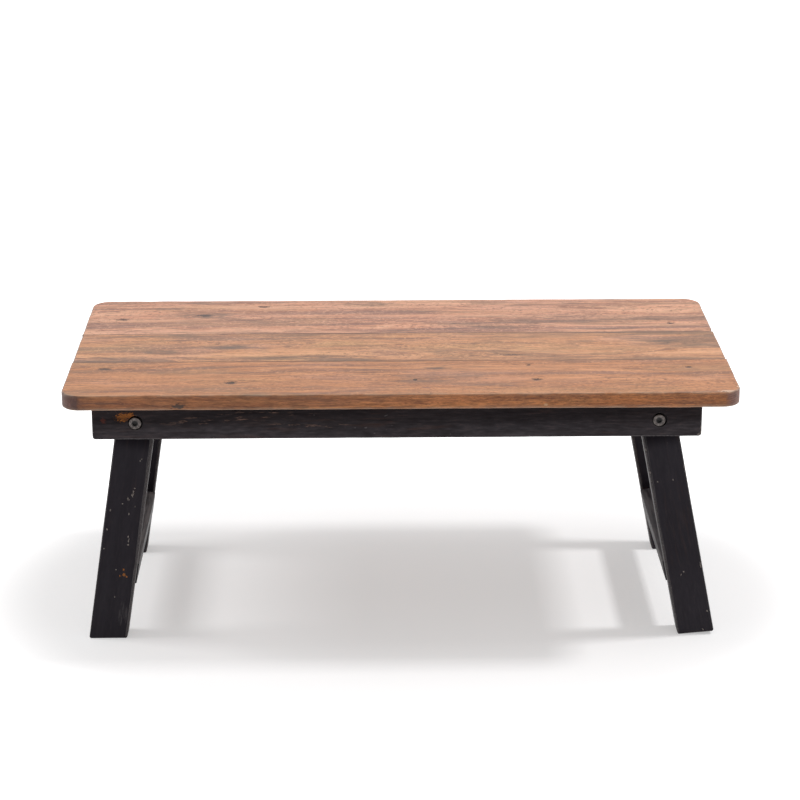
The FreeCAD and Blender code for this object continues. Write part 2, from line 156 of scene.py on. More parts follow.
@dataclass(frozen=True)
class Cloud:
    """A noise that is drawn out along the grain.

    Attributes:
        along: Its frequency along the grain, per metre.
        across: Its frequency across the grain, per metre.
        shift: A shift that sets it apart from the finish's other noises.
        detail: How many finer layers it has.
        roughness: How strong the finer layers are.
    """

    along: float
    across: float
    shift: float
    detail: float = 3.0
    roughness: float = 0.55


class Bench:
    """The node tree of a material or of the world, with short calls that add nodes and join them."""

    MIX_FIRST = 6
    MIX_SECOND = 7
    MIX_RESULT = 2
    NOISE_SPAN = (0.25, 0.75)
    RAGGEDNESS = 0.7
    MARK_EDGE = (1.1, 0.6)
    STRAY_SHARE = 0.6

    def __init__(self, owner: bpy.types.Material | bpy.types.World, shift: float = 0.0) -> None:
        """Start an empty node tree.

        Args:
            owner: The material or the world that has the tree.
            shift: A shift that gives its noises their own pattern.
        """
        self.owner = owner
        self.shift = shift
        owner.use_nodes = True
        self.tree = owner.node_tree
        self.tree.nodes.clear()

    def add(self, kind: str, **settings: object) -> bpy.types.Node:
        """Add a node.

        Args:
            kind: The node's type.
            **settings: Properties to set on it.

        Returns:
            The new node.
        """
        node = self.tree.nodes.new(kind)
        for key, value in settings.items():
            setattr(node, key, value)
        return node

    def feed(self, socket: Socket, value: Feed) -> None:
        """Set an input to a plain value, or join it to another node's output.

        Args:
            socket: The input.
            value: A number, a colour, a vector or an output.
        """
        if isinstance(value, bpy.types.NodeSocket):
            self.tree.links.new(value, socket)
        elif socket.type == "RGBA":
            socket.default_value = (*value, 1.0)
        else:
            socket.default_value = value

    def node(self, kind: str, output: str | int, inputs: dict[str | int, Feed],
             **settings: object) -> Socket:
        """Add a node and feed it.

        Args:
            kind: The node's type.
            output: The output to return, by name or by number.
            inputs: What feeds its inputs, by their names or numbers.
            **settings: Properties to set on it.

        Returns:
            The output.
        """
        node = self.add(kind, **settings)
        for key, value in inputs.items():
            self.feed(node.inputs[key], value)
        return node.outputs[output]

    def places(self, layout: Layout) -> Socket:
        """Return the places that a pattern is laid out on, in metres."""
        if layout is Layout.GRAIN:
            return self.attribute("grain", "Vector")
        return self.node("ShaderNodeTexCoord", "Object", {})

    def attribute(self, name: str, output: str = "Fac") -> Socket:
        """Return an output that reads a value stored on the mesh."""
        return self.node("ShaderNodeAttribute", output, {}, attribute_name=name)

    def part(self, places: Socket, axis: str) -> Socket:
        """Return one axis of some places."""
        return self.node("ShaderNodeSeparateXYZ", axis, {"Vector": places})

    def stretch(self, places: Socket, scale: Sequence[float], shift: Sequence[float]) -> Socket:
        """Return places scaled by axis and then shifted."""
        inputs = {"Vector": places, "Scale": tuple(scale), "Location": tuple(shift)}
        return self.node("ShaderNodeMapping", "Vector", inputs)

    def cloud(self, places: Socket, cloud: Cloud) -> Socket:
        """Return a noise, from 0 to 1, laid out on some places."""
        shift = self.shift + cloud.shift
        scale = (cloud.along, cloud.across, cloud.across)
        spread = self.stretch(places, scale, (shift, 2 * shift, -shift))
        inputs = {"Vector": spread, "Scale": 1.0, "Detail": cloud.detail,
                  "Roughness": cloud.roughness}
        return self.node("ShaderNodeTexNoise", "Fac", inputs)

    def ease(self, value: Feed, low: float, high: float, first: Feed = 0.0, last: float = 1.0,
             way: str = "SMOOTHSTEP") -> Socket:
        """Return a value that goes from first at low to last at high, smoothly if not told how."""
        inputs = {"Value": value, "From Min": low, "From Max": high, "To Min": first, "To Max": last}
        return self.node("ShaderNodeMapRange", "Result", inputs, interpolation_type=way)

    def sway(self, value: Socket, reach: float) -> Socket:
        """Return a noise spread out from -reach to reach."""
        return self.ease(value, *self.NOISE_SPAN, -reach, reach)

    def calc(self, operation: str, first: Feed, second: Feed = 0.0) -> Socket:
        """Return the result of a sum on one or two numbers."""
        return self.node("ShaderNodeMath", "Value", {0: first, 1: second}, operation=operation)

    def times(self, first: Feed, second: Feed) -> Feed:
        """Return a product, which is a plain 0 where one of the two is."""
        if first == 0.0 or second == 0.0:
            return 0.0
        return self.calc("MULTIPLY", first, second)

    def plus(self, first: Socket, second: Feed) -> Socket:
        """Return a total, which is the first number alone where the second is a plain 0."""
        return first if second == 0.0 else self.calc("ADD", first, second)

    def less(self, first: Feed, second: Feed) -> Feed:
        """Return a difference, which is the first number alone where the second is a plain 0."""
        return first if second == 0.0 else self.calc("SUBTRACT", first, second)

    def most(self, first: Feed, second: Feed) -> Feed:
        """Return the larger of two numbers that are not below 0, without one that is a plain 0."""
        if second == 0.0:
            return first
        return second if first == 0.0 else self.calc("MAXIMUM", first, second)

    def vector(self, operation: str, first: Socket, second: Feed = (0.0, 0.0, 0.0),
               output: str = "Vector") -> Socket:
        """Return the result of a sum on one or two vectors."""
        return self.node("ShaderNodeVectorMath", output, {0: first, 1: second}, operation=operation)

    def paint(self, amount: Feed, under: Feed, over: Feed, mode: str = "MIX") -> Feed:
        """Return one colour laid over another by an amount, if it is not a plain 0."""
        if amount == 0.0:
            return under
        inputs = {0: amount, self.MIX_FIRST: under, self.MIX_SECOND: over}
        return self.node("ShaderNodeMix", self.MIX_RESULT, inputs, data_type="RGBA", blend_type=mode)

    def coats(self, colour: Feed, coats: Sequence[tuple[Feed, Feed]]) -> Feed:
        """Return a colour with others laid over it in turn, each by its own amount."""
        for amount, over in coats:
            colour = self.paint(amount, colour, over)
        return colour

    def wander(self, places: Socket, bends: Cloud, reach: float) -> Socket:
        """Return places that stray across the grain by up to a reach, as fibres do."""
        bend = self.sway(self.cloud(places, bends), reach)
        inputs = {"Y": bend, "Z": self.times(bend, self.STRAY_SHARE)}
        return self.vector("ADD", places, self.node("ShaderNodeCombineXYZ", "Vector", inputs))

    def marks(self, places: Socket, wanted: Sequence[Mark], ragged: Socket) -> Feed:
        """Return where any of some marks lies.

        Args:
            places: The plank's own places.
            wanted: The marks.
            ragged: A noise that breaks up their outlines.

        Returns:
            1 in a mark, falling to 0 round it, or a plain 0 where there are none.
        """
        total: Feed = 0.0
        for mark in wanted:
            through = 2 / (mark.depth * MM) if mark.depth else 0.0
            scale = (2 / (mark.length * MM), 2 / (mark.width * MM), through)
            middle = (mark.along, mark.across, mark.level)
            shift = tuple(-MM * place * size for place, size in zip(middle, scale))
            away = self.vector("LENGTH", self.stretch(places, scale, shift), output="Value")
            uneven = self.plus(away, self.sway(ragged, self.RAGGEDNESS))
            total = self.most(total, self.ease(uneven, *self.MARK_EDGE))
        return total

    def bump(self, height: Socket, distance: float) -> Socket:
        """Return the way a surface faces whose height reaches a distance in metres."""
        inputs = {"Height": height, "Distance": distance, "Strength": 1.0}
        return self.node("ShaderNodeBump", "Normal", inputs)

    def close(self, shader: Socket) -> bpy.types.Material | bpy.types.World:
        """Join a shader to the tree's output, and return what has the tree."""
        kind = "World" if isinstance(self.owner, bpy.types.World) else "Material"
        self.feed(self.add(f"ShaderNodeOutput{kind}").inputs["Surface"], shader)
        return self.owner

    def surface(self, **inputs: Feed) -> bpy.types.Material:
        """Return the material with a shader that has some inputs, named with _ for a space."""
        named = {name.replace("_", " "): value for name, value in inputs.items()}
        return self.close(self.node("ShaderNodeBsdfPrincipled", "BSDF", named))


@dataclass(frozen=True)
class BoardWood:
    """Worn brown board wood with long streaks, open pores, stains and knots.

    Attributes:
        name: The material's name.
        shift: A shift that gives the board its own figure.
        light: The colour of its pale streaks.
        middle: Its main colour.
        dark: The colour of its dark streaks.
        rosy: How much of it is pinkish, from 0 to 1.
        olive: How much of it is greenish, from 0 to 1.
        heart: How much of it is dark heartwood, from 0 to 1.
        pith: Where the middle of the trunk lay, across the board and above it.
        seams: The places of its glued edges, across the grain.
        grey_band: How wide the greyed band beside those edges is.
        marks: Its single marks.
        smoke_slope: How much more of it is smoky with each metre along X.
    """

    name: str
    shift: float
    light: Colour
    middle: Colour
    dark: Colour
    rosy: float
    olive: float
    heart: float
    pith: Span
    seams: tuple[float, ...]
    grey_band: float
    marks: tuple[Mark, ...]
    smoke_slope: float = 0.0

    PINK = (0.72, 0.375, 0.265)
    GREEN = (0.46, 0.265, 0.125)
    PURPLE = (0.270, 0.128, 0.092)
    GRIME = (0.030, 0.017, 0.014)
    GREY = (0.140, 0.090, 0.064)
    # Bare wood for chips and worn arrises; on the lower arris also painted light from the floor.
    BARE = (0.90, 0.66, 0.49)
    END_TONE = (0.062, 0.020, 0.016)
    END_LIGHT = (0.235, 0.105, 0.080)
    EDGE_DARK = (0.70, 0.58, 0.46)
    EDGE_LIGHT = (1.13, 0.92, 0.62)

    FLATNESS = 2.0
    RING_WIDTH = 3.6 * MM
    WAVE_WIDTH = 2 * math.pi / 20
    LINE_COUNT = 8.0
    FIGURE_BENDS = Cloud(2.6, 15, 0, 2.0)
    FIGURE_REACH = 9 * MM
    FIBRE_BENDS = Cloud(12, 45, 3, 2.0)
    FIBRE_REACH = 2.6 * MM
    STREAKS = Cloud(3.2, 75, 5, 5.0, 0.62)
    BANDS = Cloud(1.6, 24, 7, 2.0)
    PATCHES = Cloud(7, 30, 11, 3.0, 0.6)
    HEARTWOOD = Cloud(9, 44, 19, 4.0, 0.65)
    CONTOURS = Cloud(3.2, 30, 23, 2.0)
    CONTOUR_BREAKS = Cloud(8, 60, 25)
    FLECKS = ((Cloud(26, 170, 13, 4.0, 0.7), 0.45), (Cloud(90, 280, 9, 4.0, 0.75), 0.5),
              (Cloud(280, 420, 17, 2.0, 0.6), 0.8))
    FINE = Cloud(22, 700, 0)
    FINE_SHARE = 0.5
    BUSY = Cloud(6, 20, 39, 2.0)
    DASHES = Cloud(34, 210, 29, 3.0, 0.6)
    PORES = Cloud(60, 1000, 1, 1.0)
    RELIEF = 0.12 * MM

    HAIRS = Cloud(30, 240, 27, 4.0, 0.7)
    SMEARS = Cloud(11, 110, 15, 4.0, 0.65)
    SMOKE = Cloud(8, 50, 41, 5.0, 0.7)
    SMOKY = 0.62
    BROKEN = Cloud(230, 620, 33, 4.0, 0.75)
    RAGGED = Cloud(60, 240, 2, 4.0, 0.65)
    SEAM_DIRT = Cloud(8, 4, 21)
    SEAM_LEAST = 0.9 * MM
    SEAM_LINE = (1.2 * MM, 0.3 * MM)
    SMUDGES = Cloud(6, 60, 31, 4.0, 0.6)
    SCRATCHES = Cloud(80, 560, 35, 4.0, 0.75)
    SAWN = Cloud(130, 130, 37, 4.0, 0.7)
    EDGE_SLOPE = 0.42
    SOAKED = (-258 * MM, -290 * MM)

    def rings(self, bench: Bench, fibres: Socket) -> Socket:
        """Return the growth rings about the pith, from 0 to 1."""
        across, height = self.pith
        inputs = {"Vector": bench.stretch(fibres, (1, 1, 1), (0, -across, -height)),
                  "Scale": self.WAVE_WIDTH / self.RING_WIDTH}
        return bench.node("ShaderNodeTexWave", "Fac", inputs, wave_type="RINGS",
                          rings_direction="X", wave_profile="SAW")

    def contours(self, bench: Bench, bent: Socket) -> Socket:
        """Return thin wandering lines that come and go, where rings run out through the face."""
        rise = bench.times(bench.cloud(bent, self.CONTOURS), self.LINE_COUNT)
        away = bench.calc("ABSOLUTE", bench.less(bench.calc("FRACT", rise), 0.5))
        fading = bench.ease(bench.cloud(bent, self.CONTOUR_BREAKS), 0.44, 0.62, 0.0, 0.8)
        return bench.times(bench.ease(away, 0.17, 0.02), fading)

    def figure(self, bench: Bench, bent: Socket, streaks: Socket, rings: Socket) -> Socket:
        """Return the colour of the long streaks, the tinged patches and the rings."""
        noises = (self.BANDS, self.PATCHES, self.HEARTWOOD)
        bands, patches, hearts = (bench.cloud(bent, cloud) for cloud in noises)
        share = bench.ease(bands, 0.35, 0.65, 0.35, 0.05)
        lines = bench.times(bench.ease(rings, 0.5, 0.98), share)
        return bench.coats(self.dark, (
            (bench.ease(streaks, 0.36, 0.5), self.middle),
            (bench.ease(streaks, 0.5, 0.64), self.light),
            (bench.ease(patches, 0.5, 0.66, 0.0, self.rosy), self.PINK),
            (bench.ease(patches, 0.48, 0.32, 0.0, self.olive), self.GREEN),
            (bench.ease(hearts, 0.52, 0.66, 0.0, self.heart), self.PURPLE),
            (bench.most(lines, self.contours(bench, bent)), self.dark),
        ))

    def fleck(self, bench: Bench, colour: Socket, fibres: Socket, fine: Socket,
              pores: Socket) -> Socket:
        """Return a colour broken up by flecks, fibres and pores."""
        busy = bench.ease(bench.cloud(fibres, self.BUSY), 0.38, 0.6, 0.3, 1.15)
        layers = [(bench.cloud(fibres, cloud), share) for cloud, share in self.FLECKS]
        for layer, share in (*layers, (fine, self.FINE_SHARE)):
            amount = bench.times(bench.ease(layer, 0.54, 0.72, 0.0, share), busy)
            colour = bench.paint(amount, colour, self.dark)
            colour = bench.paint(bench.ease(layer, 0.47, 0.32, 0.0, 0.7 * share), colour, self.light)
        dashes = bench.ease(bench.cloud(fibres, self.DASHES), 0.62, 0.72, 0.0, 0.75)
        colour = bench.paint(bench.times(dashes, busy), colour, self.PURPLE)
        return bench.paint(bench.ease(pores, 0.6, 0.72, 0.0, 0.45), colour, self.GRIME)

    def seam_grime(self, bench: Bench, places: Socket, smears: Socket) -> Socket:
        """Return how grey the wood is beside its glued edges, with a dark line along them."""
        across = bench.part(places, "Y")
        reach = bench.plus(bench.ease(smears, 0.4, 0.62, 0.0, self.grey_band), self.SEAM_LEAST)
        band: Feed = 0.0
        line: Feed = 0.0
        for seam in self.seams:
            away = bench.calc("ABSOLUTE", bench.less(across, seam))
            near = bench.less(1.0, bench.calc("DIVIDE", away, reach))
            band = bench.most(band, bench.ease(near, 0.0, 0.8, 0.0, 0.85))
            line = bench.most(line, bench.ease(away, *self.SEAM_LINE))
        dirty = bench.cloud(places, self.SEAM_DIRT)
        band = bench.times(band, bench.ease(dirty, 0.4, 0.62, 0.2, 0.9))
        return bench.most(band, bench.times(line, bench.ease(dirty, 0.35, 0.6, 0.5, 0.95)))

    def weather(self, bench: Bench, colour: Socket, places: Socket, fibres: Socket,
                smears: Socket) -> Socket:
        """Return a colour with the board's stains, knots and holes."""
        hairs = bench.cloud(fibres, self.HAIRS)
        slope = bench.times(bench.part(places, "X"), self.smoke_slope)
        smoke = bench.plus(bench.cloud(fibres, self.SMOKE), slope)
        stains = bench.marks(fibres, of_kind(self.marks, MarkKind.STAIN), hairs)
        stains = bench.most(stains, bench.ease(smears, 0.6, 0.74, 0.0, 0.9))
        broken = bench.cloud(places, self.BROKEN)
        chips = bench.marks(places, of_kind(self.marks, MarkKind.CHIP), broken)
        holes = bench.marks(places, of_kind(self.marks, *HOLLOWS), broken)
        return bench.coats(colour, (
            (bench.ease(smoke, 0.5, 0.72, 0.0, self.SMOKY), self.GREY),
            (bench.times(stains, bench.ease(hairs, 0.38, 0.58, 0.22, 0.9)), self.GREY),
            (bench.times(chips, 0.85), self.BARE),
            (bench.times(holes, 0.9), self.GRIME),
        ))

    def edges(self, bench: Bench, colour: Socket, places: Socket, ragged: Socket,
              rings: Socket) -> Socket:
        """Return a colour with darker sides, dark end grain and pale arrises: wear and painted light."""
        along = bench.part(places, "X")
        slope = bench.times(along, self.EDGE_SLOPE)
        sides = bench.ease(bench.attribute("side"), 0.5, 0.95)
        smudges = bench.plus(bench.cloud(places, self.SMUDGES), slope)
        tone = bench.paint(bench.ease(smudges, 0.38, 0.6), self.EDGE_DARK, self.EDGE_LIGHT)
        scratches = bench.ease(bench.cloud(places, self.SCRATCHES), 0.34, 0.66, 0.62, 1.25)
        tone = bench.paint(1.0, tone, scratches, "MULTIPLY")
        colour = bench.paint(sides, colour, tone, "MULTIPLY")
        sawn = bench.cloud(places, self.SAWN)
        pale = bench.ease(bench.plus(sawn, slope), 0.4, 0.64)
        ends = bench.paint(pale, self.END_TONE, self.END_LIGHT)
        ends = bench.paint(bench.ease(rings, 0.3, 1.0, 0.0, 0.65), ends, self.END_TONE)
        turned = bench.plus(bench.attribute("end"), bench.ease(sawn, 0.3, 0.7, -0.1, 0.1))
        soaked = bench.times(sides, bench.ease(along, *self.SOAKED, 0.0, 0.36))
        share = bench.ease(bench.plus(turned, soaked), 0.14, 0.5, 0.0, 0.92)
        colour = bench.paint(share, colour, ends)
        # Pale arrises: wear, and on the lower arris also painted light bounced up from the floor.
        worn = bench.times(bench.attribute("wear"), bench.ease(ragged, 0.3, 0.58, 0.25, 0.95))
        return bench.paint(worn, colour, self.BARE)

    def make(self) -> bpy.types.Material:
        """Return the finished material."""
        bench = Bench(bpy.data.materials.new(self.name), self.shift)
        places = bench.places(Layout.GRAIN)
        sawn = bench.stretch(places, (1, 1, self.FLATNESS), (0, 0, 0))
        bent = bench.wander(sawn, self.FIGURE_BENDS, self.FIGURE_REACH)
        fibres = bench.wander(bent, self.FIBRE_BENDS, self.FIBRE_REACH)
        noises = (self.STREAKS, self.FINE, self.PORES, self.SMEARS)
        streaks, fine, pores, smears = (bench.cloud(fibres, cloud) for cloud in noises)
        rings = self.rings(bench, fibres)
        colour = self.figure(bench, bent, streaks, rings)
        colour = self.fleck(bench, colour, fibres, fine, pores)
        colour = self.weather(bench, colour, places, fibres, smears)
        colour = self.edges(bench, colour, places, bench.cloud(places, self.RAGGED), rings)
        colour = bench.paint(self.seam_grime(bench, places, smears), colour, self.GREY)
        height = bench.less(fine, bench.times(bench.ease(pores, 0.6, 0.75), 0.8))
        height = bench.less(height, bench.times(rings, 0.3))
        dull = bench.plus(streaks, bench.times(fine, 0.4))
        return bench.surface(Base_Color=colour, Roughness=bench.ease(dull, 0.4, 1.0, 0.42, 0.58),
                             Normal=bench.bump(height, self.RELIEF))


@dataclass(frozen=True)
class Shade:
    """Painted shade and highlight: a paint's shine changed along one of a plank's own axes.

    Attributes:
        axis: X for along the grain, or Y for across it.
        span: Where the change starts and ends.
        shine: How strong the shine is at those two places.
    """

    axis: str
    span: Span
    shine: Span


@dataclass(frozen=True)
class BlackPaint:
    """Satin black paint on wood: thin, brown, chipped; arrises grey with wear and painted highlight.

    Attributes:
        name: The material's name.
        shift: A shift that gives the piece its own wear.
        layout: Where the pattern is laid out.
        marks: Its single chips, rust spots, rubbed places, scuffs and plugs.
        thin: How much of the paint is thin, from 0 to 1.
        chips: How much of it is chipped, from 0 to 1.
        side_wear: How much grey is painted on its narrow sides, from 0 to 1.
        relief: How high its brush marks stand.
        grainy: How much its shine is broken up, from 0 to 1.
        shine: How strongly its dull and its glossy streaks shine.
        shades: Its shine, dimmed as painted shade or raised as painted highlight along it.
        black: The colour of its dull streaks.
        soft_black: The colour of its glossy streaks.
    """

    name: str
    shift: float
    layout: Layout = Layout.GRAIN
    marks: tuple[Mark, ...] = ()
    thin: float = 0.5
    chips: float = 0.5
    side_wear: float = 0.3
    relief: float = 0.05 * MM
    grainy: float = 0.1
    shine: Span = (0.185, 0.20)
    shades: tuple[Shade, ...] = ()
    black: Colour = (0.0070, 0.0056, 0.0082)
    soft_black: Colour = (0.0090, 0.0074, 0.0104)

    TINT = (0.98, 0.90, 1.0)
    FILLER = (0.090, 0.024, 0.015)
    BROWN = (0.055, 0.030, 0.023)
    RUBBED = (0.200, 0.125, 0.098)
    # Grey of worn paint, for scuffs and arrises; on the arrises also a painted highlight.
    GREYED = (0.150, 0.138, 0.140)
    BARE = (0.46, 0.40, 0.36)
    RUST = (0.40, 0.150, 0.038)

    MARK_DEPTH = 7.0
    BENDS = Cloud(5, 40, 0, 2.0)
    REACH = 1.5 * MM
    CLOUDS = Cloud(9, 34, 2)
    STREAKS = Cloud(6, 110, 4, 4.0, 0.6)
    DASHES = Cloud(22, 240, 9, 3.0, 0.65)
    FINE = Cloud(90, 520, 1, 3.0, 0.65)
    HAIRS = Cloud(60, 420, 11, 4.0, 0.7)
    RAGGED = Cloud(620, 900, 6, 4.0, 0.7)
    SPECKS = Cloud(190, 330, 8, 1.0)

    def on_face(self, thickness: float) -> "BlackPaint":
        """Return the same paint with its marks kept near a plank's upper face."""
        marks = (replace(mark, level=thickness / MM, depth=self.MARK_DEPTH) for mark in self.marks)
        return replace(self, marks=tuple(marks))

    def make(self) -> bpy.types.Material:
        """Return the finished material."""
        bench = Bench(bpy.data.materials.new(self.name), self.shift)
        places = bench.places(self.layout)
        fibres = bench.wander(places, self.BENDS, self.REACH)
        noises = (self.STREAKS, self.DASHES, self.FINE, self.HAIRS)
        streaks, dashes, fine, hairs = (bench.cloud(fibres, cloud) for cloud in noises)
        noises = (self.CLOUDS, self.RAGGED, self.SPECKS)
        clouds, ragged, specks = (bench.cloud(places, cloud) for cloud in noises)

        def marked(kind: MarkKind, outline: Socket) -> Feed:
            """Return where the marks of one kind lie."""
            return bench.marks(places, of_kind(self.marks, kind), outline)

        thin = bench.ease(clouds, 0.42, 0.64, 0.0, self.thin)
        rubbed = marked(MarkKind.RUB, streaks)
        scuffs = bench.times(bench.ease(specks, 0.71, 0.77), bench.ease(clouds, 0.5, 0.6))
        scuffed = marked(MarkKind.SCUFF, dashes)
        wear = bench.attribute("wear")
        sides = bench.ease(bench.attribute("side"), 0.4, 0.9, 0.0, self.side_wear)
        sides = bench.times(sides, bench.ease(dashes, 0.36, 0.6, 0.2, 1.0))
        # Grey arrises: worn paint and also a painted highlight; the narrow sides are greyed too.
        worn = bench.most(bench.times(wear, bench.ease(ragged, 0.3, 0.6, 0.3, 1.0)), sides)
        deep = bench.times(wear, bench.ease(ragged, 0.6, 0.68))
        chips = marked(MarkKind.CHIP, ragged)
        rust = bench.times(marked(MarkKind.RUST, ragged), bench.ease(dashes, 0.36, 0.56, 0.2, 1.0))
        colour = bench.coats(self.black, (
            (bench.ease(streaks, 0.38, 0.62), self.soft_black),
            (bench.times(bench.ease(dashes, 0.5, 0.68), thin), self.BROWN),
            (bench.times(rubbed, bench.ease(hairs, 0.54, 0.68)), self.RUBBED),
            (bench.ease(fine, 0.55, 0.75, 0.0, self.grainy), self.BROWN),
            (bench.times(scuffs, self.chips), self.GREYED),
            (bench.times(scuffed, bench.ease(fine, 0.35, 0.65, 0.05, 0.4)), self.GREYED),
            (bench.times(marked(MarkKind.PLUG, ragged), 0.8), self.FILLER),
            (worn, self.GREYED),
            (bench.times(deep, self.chips), self.BARE),
            (bench.times(chips, bench.ease(ragged, 0.34, 0.6, 0.85, 0.25)), self.BARE),
            (rust, self.RUST),
        ))

        gone = bench.most(chips, rust)
        height = bench.less(bench.plus(fine, bench.times(streaks, 1.4)), gone)
        gloss = bench.plus(bench.ease(clouds, 0.3, 0.7, 0.36, 0.5),
                           bench.times(bench.most(gone, worn), 0.25))
        shine = bench.times(bench.ease(streaks, 0.35, 0.66, *self.shine),
                            bench.ease(fine, 0.3, 0.7, 1 - self.grainy, 1 + self.grainy))
        # Painted shade and highlight: the shine is scaled along the piece.
        for shade in self.shades:
            change = bench.ease(bench.part(places, shade.axis), *shade.span, *shade.shine)
            shine = bench.times(shine, change)
        return bench.surface(Base_Color=colour, Roughness=gloss, Specular_IOR_Level=shine,
                             Specular_Tint=self.TINT, Normal=bench.bump(height, self.relief))


@dataclass(frozen=True)
class Steel:
    """Plain plated steel with fine scratches and grime.

    Attributes:
        name: The material's name.
        bright: The colour of the clean plating.
        dull: The colour where it has dulled.
        grime: The colour of the dirt on it.
        dirt: How much of it is dirty, from 0 to 1.
    """

    name: str
    bright: Colour
    dull: Colour
    grime: Colour
    dirt: float

    CLOUDS = Cloud(420, 420, 2)
    SCRATCHES = Cloud(300, 3800, 4, 2.0)
    SPOTS = Cloud(900, 900, 6, 3.0, 0.65)
    RELIEF = 0.02 * MM

    def make(self) -> bpy.types.Material:
        """Return the finished material."""
        bench = Bench(bpy.data.materials.new(self.name))
        places = bench.places(Layout.FRAME)
        noises = (self.CLOUDS, self.SCRATCHES, self.SPOTS)
        clouds, scratches, spots = (bench.cloud(places, cloud) for cloud in noises)
        colour = bench.paint(bench.ease(clouds, 0.35, 0.65), self.bright, self.dull)
        dirty = bench.ease(spots, 0.5, 0.72, 0.0, self.dirt)
        colour = bench.paint(dirty, colour, self.grime)
        gloss = bench.ease(bench.plus(clouds, dirty), 0.35, 1.0, 0.26, 0.5)
        metal = bench.ease(dirty, 0.0, 1.0, 1.0, 0.4)
        return bench.surface(Base_Color=colour, Roughness=gloss, Metallic=metal,
                             Normal=bench.bump(scratches, self.RELIEF))


@dataclass(frozen=True)
class BoltSteel:
    """The grey steel of a pivot bolt: a socket darkened by dirt and painted shade, and a rubbed rim.

    Attributes:
        name: The material's name.
        centre: The bolt's axis, along X and up Z.
    """

    name: str
    centre: Span

    RIM = (0.115, 0.101, 0.096)
    DULL = (0.064, 0.056, 0.053)
    GRIME = (0.010, 0.008, 0.008)
    # The socket's dark reaches out to these radii: dirt, and painted shade in its hollow.
    SOCKET = (3.2 * MM, 2.6 * MM)
    CLOUDS = Cloud(500, 500, 2)
    SPOTS = Cloud(1100, 1100, 6, 3.0, 0.65)
    RELIEF = 0.03 * MM

    def make(self) -> bpy.types.Material:
        """Return the finished material."""
        bench = Bench(bpy.data.materials.new(self.name))
        places = bench.places(Layout.FRAME)
        clouds, spots = (bench.cloud(places, cloud) for cloud in (self.CLOUDS, self.SPOTS))
        level = bench.stretch(places, (1, 0, 1), (-self.centre[0], 0, -self.centre[1]))
        away = bench.vector("LENGTH", level, output="Value")
        colour = bench.paint(bench.ease(clouds, 0.38, 0.62), self.RIM, self.DULL)
        # A dark socket of dirt and painted shade, and dirty spots.
        dirty = bench.most(bench.ease(away, *self.SOCKET), bench.ease(spots, 0.52, 0.72, 0.0, 0.6))
        colour = bench.paint(dirty, colour, self.GRIME)
        gloss = bench.ease(bench.plus(clouds, dirty), 0.35, 1.2, 0.34, 0.6)
        metal = bench.ease(dirty, 0.0, 1.0, 1.0, 0.1)
        return bench.surface(Base_Color=colour, Roughness=gloss, Metallic=metal,
                             Normal=bench.bump(spots, self.RELIEF))


@dataclass(frozen=True)
class Corner:
    """A corner of an outline, and the radius that rounds it."""

    u: float
    v: float
    radius: float = 0.0

    @property
    def place(self) -> Vector:
        """The corner as a point."""
        return Vector((self.u, self.v))


class Outline:
    """A four-sided outline with rounded corners, drawn anticlockwise.

    Its sides run bottom, right, top and left, and meet in the middle of the rounded corners.
    """

    ARC_STEPS = 16

    def __init__(self, corners: Sequence[Corner]) -> None:
        """Draw the four sides.

        Args:
            corners: The corners, from low u and low v, anticlockwise.
        """
        count = len(corners)
        arcs = [self.arc(corners[k - 1], corners[k], corners[(k + 1) % count]) for k in range(count)]
        self.sides = []
        for k in range(count):
            first = arcs[k]
            second = arcs[(k + 1) % count]
            self.sides.append(first[len(first) // 2:] + second[:len(second) // 2 + 1])

    def arc(self, before: Corner, corner: Corner, after: Corner) -> list[Vector]:
        """Return the points of one rounded corner, or the corner alone where it is sharp."""
        here = corner.place
        if corner.radius == 0.0:
            return [here]
        back = (before.place - here).normalized()
        ahead = (after.place - here).normalized()
        half_angle = back.angle(ahead) / 2
        reach = corner.radius / math.tan(half_angle)
        centre = here + (back + ahead).normalized() * (corner.radius / math.sin(half_angle))
        first = here + back * reach - centre
        last = here + ahead * reach - centre
        return [centre + first.slerp(last, step / self.ARC_STEPS).normalized() * corner.radius
                for step in range(self.ARC_STEPS + 1)]

    @staticmethod
    def spread(path: Sequence[Vector], count: int, crowding: float) -> list[Vector]:
        """Return points along a path, closer together towards its ends.

        Args:
            path: The path.
            count: How many steps there are.
            crowding: From 0, evenly spaced, towards 1, crowded at the ends.

        Returns:
            The points, with both ends.
        """
        lengths = [0.0]
        for first, last in zip(path, path[1:]):
            lengths.append(lengths[-1] + (last - first).length)
        points = []
        piece = 0
        for step in range(count + 1):
            share = step / count
            share -= crowding * math.sin(2 * math.pi * share) / (2 * math.pi)
            target = share * lengths[-1]
            while piece < len(path) - 2 and lengths[piece + 1] < target:
                piece += 1
            span = lengths[piece + 1] - lengths[piece]
            points.append(path[piece].lerp(path[piece + 1], min(1.0, (target - lengths[piece]) / span)))
        return points


@dataclass(frozen=True)
class Bore:
    """A stepped hole, by where it starts, the way it runs, and its radii and depths.

    Attributes:
        start: The middle of its mouth, in the plank's own axes.
        way: The direction that it is drilled in.
        steps: Each step's radius and the depth at which it ends.
    """

    start: Vector
    way: Vector
    steps: tuple[Span, ...]


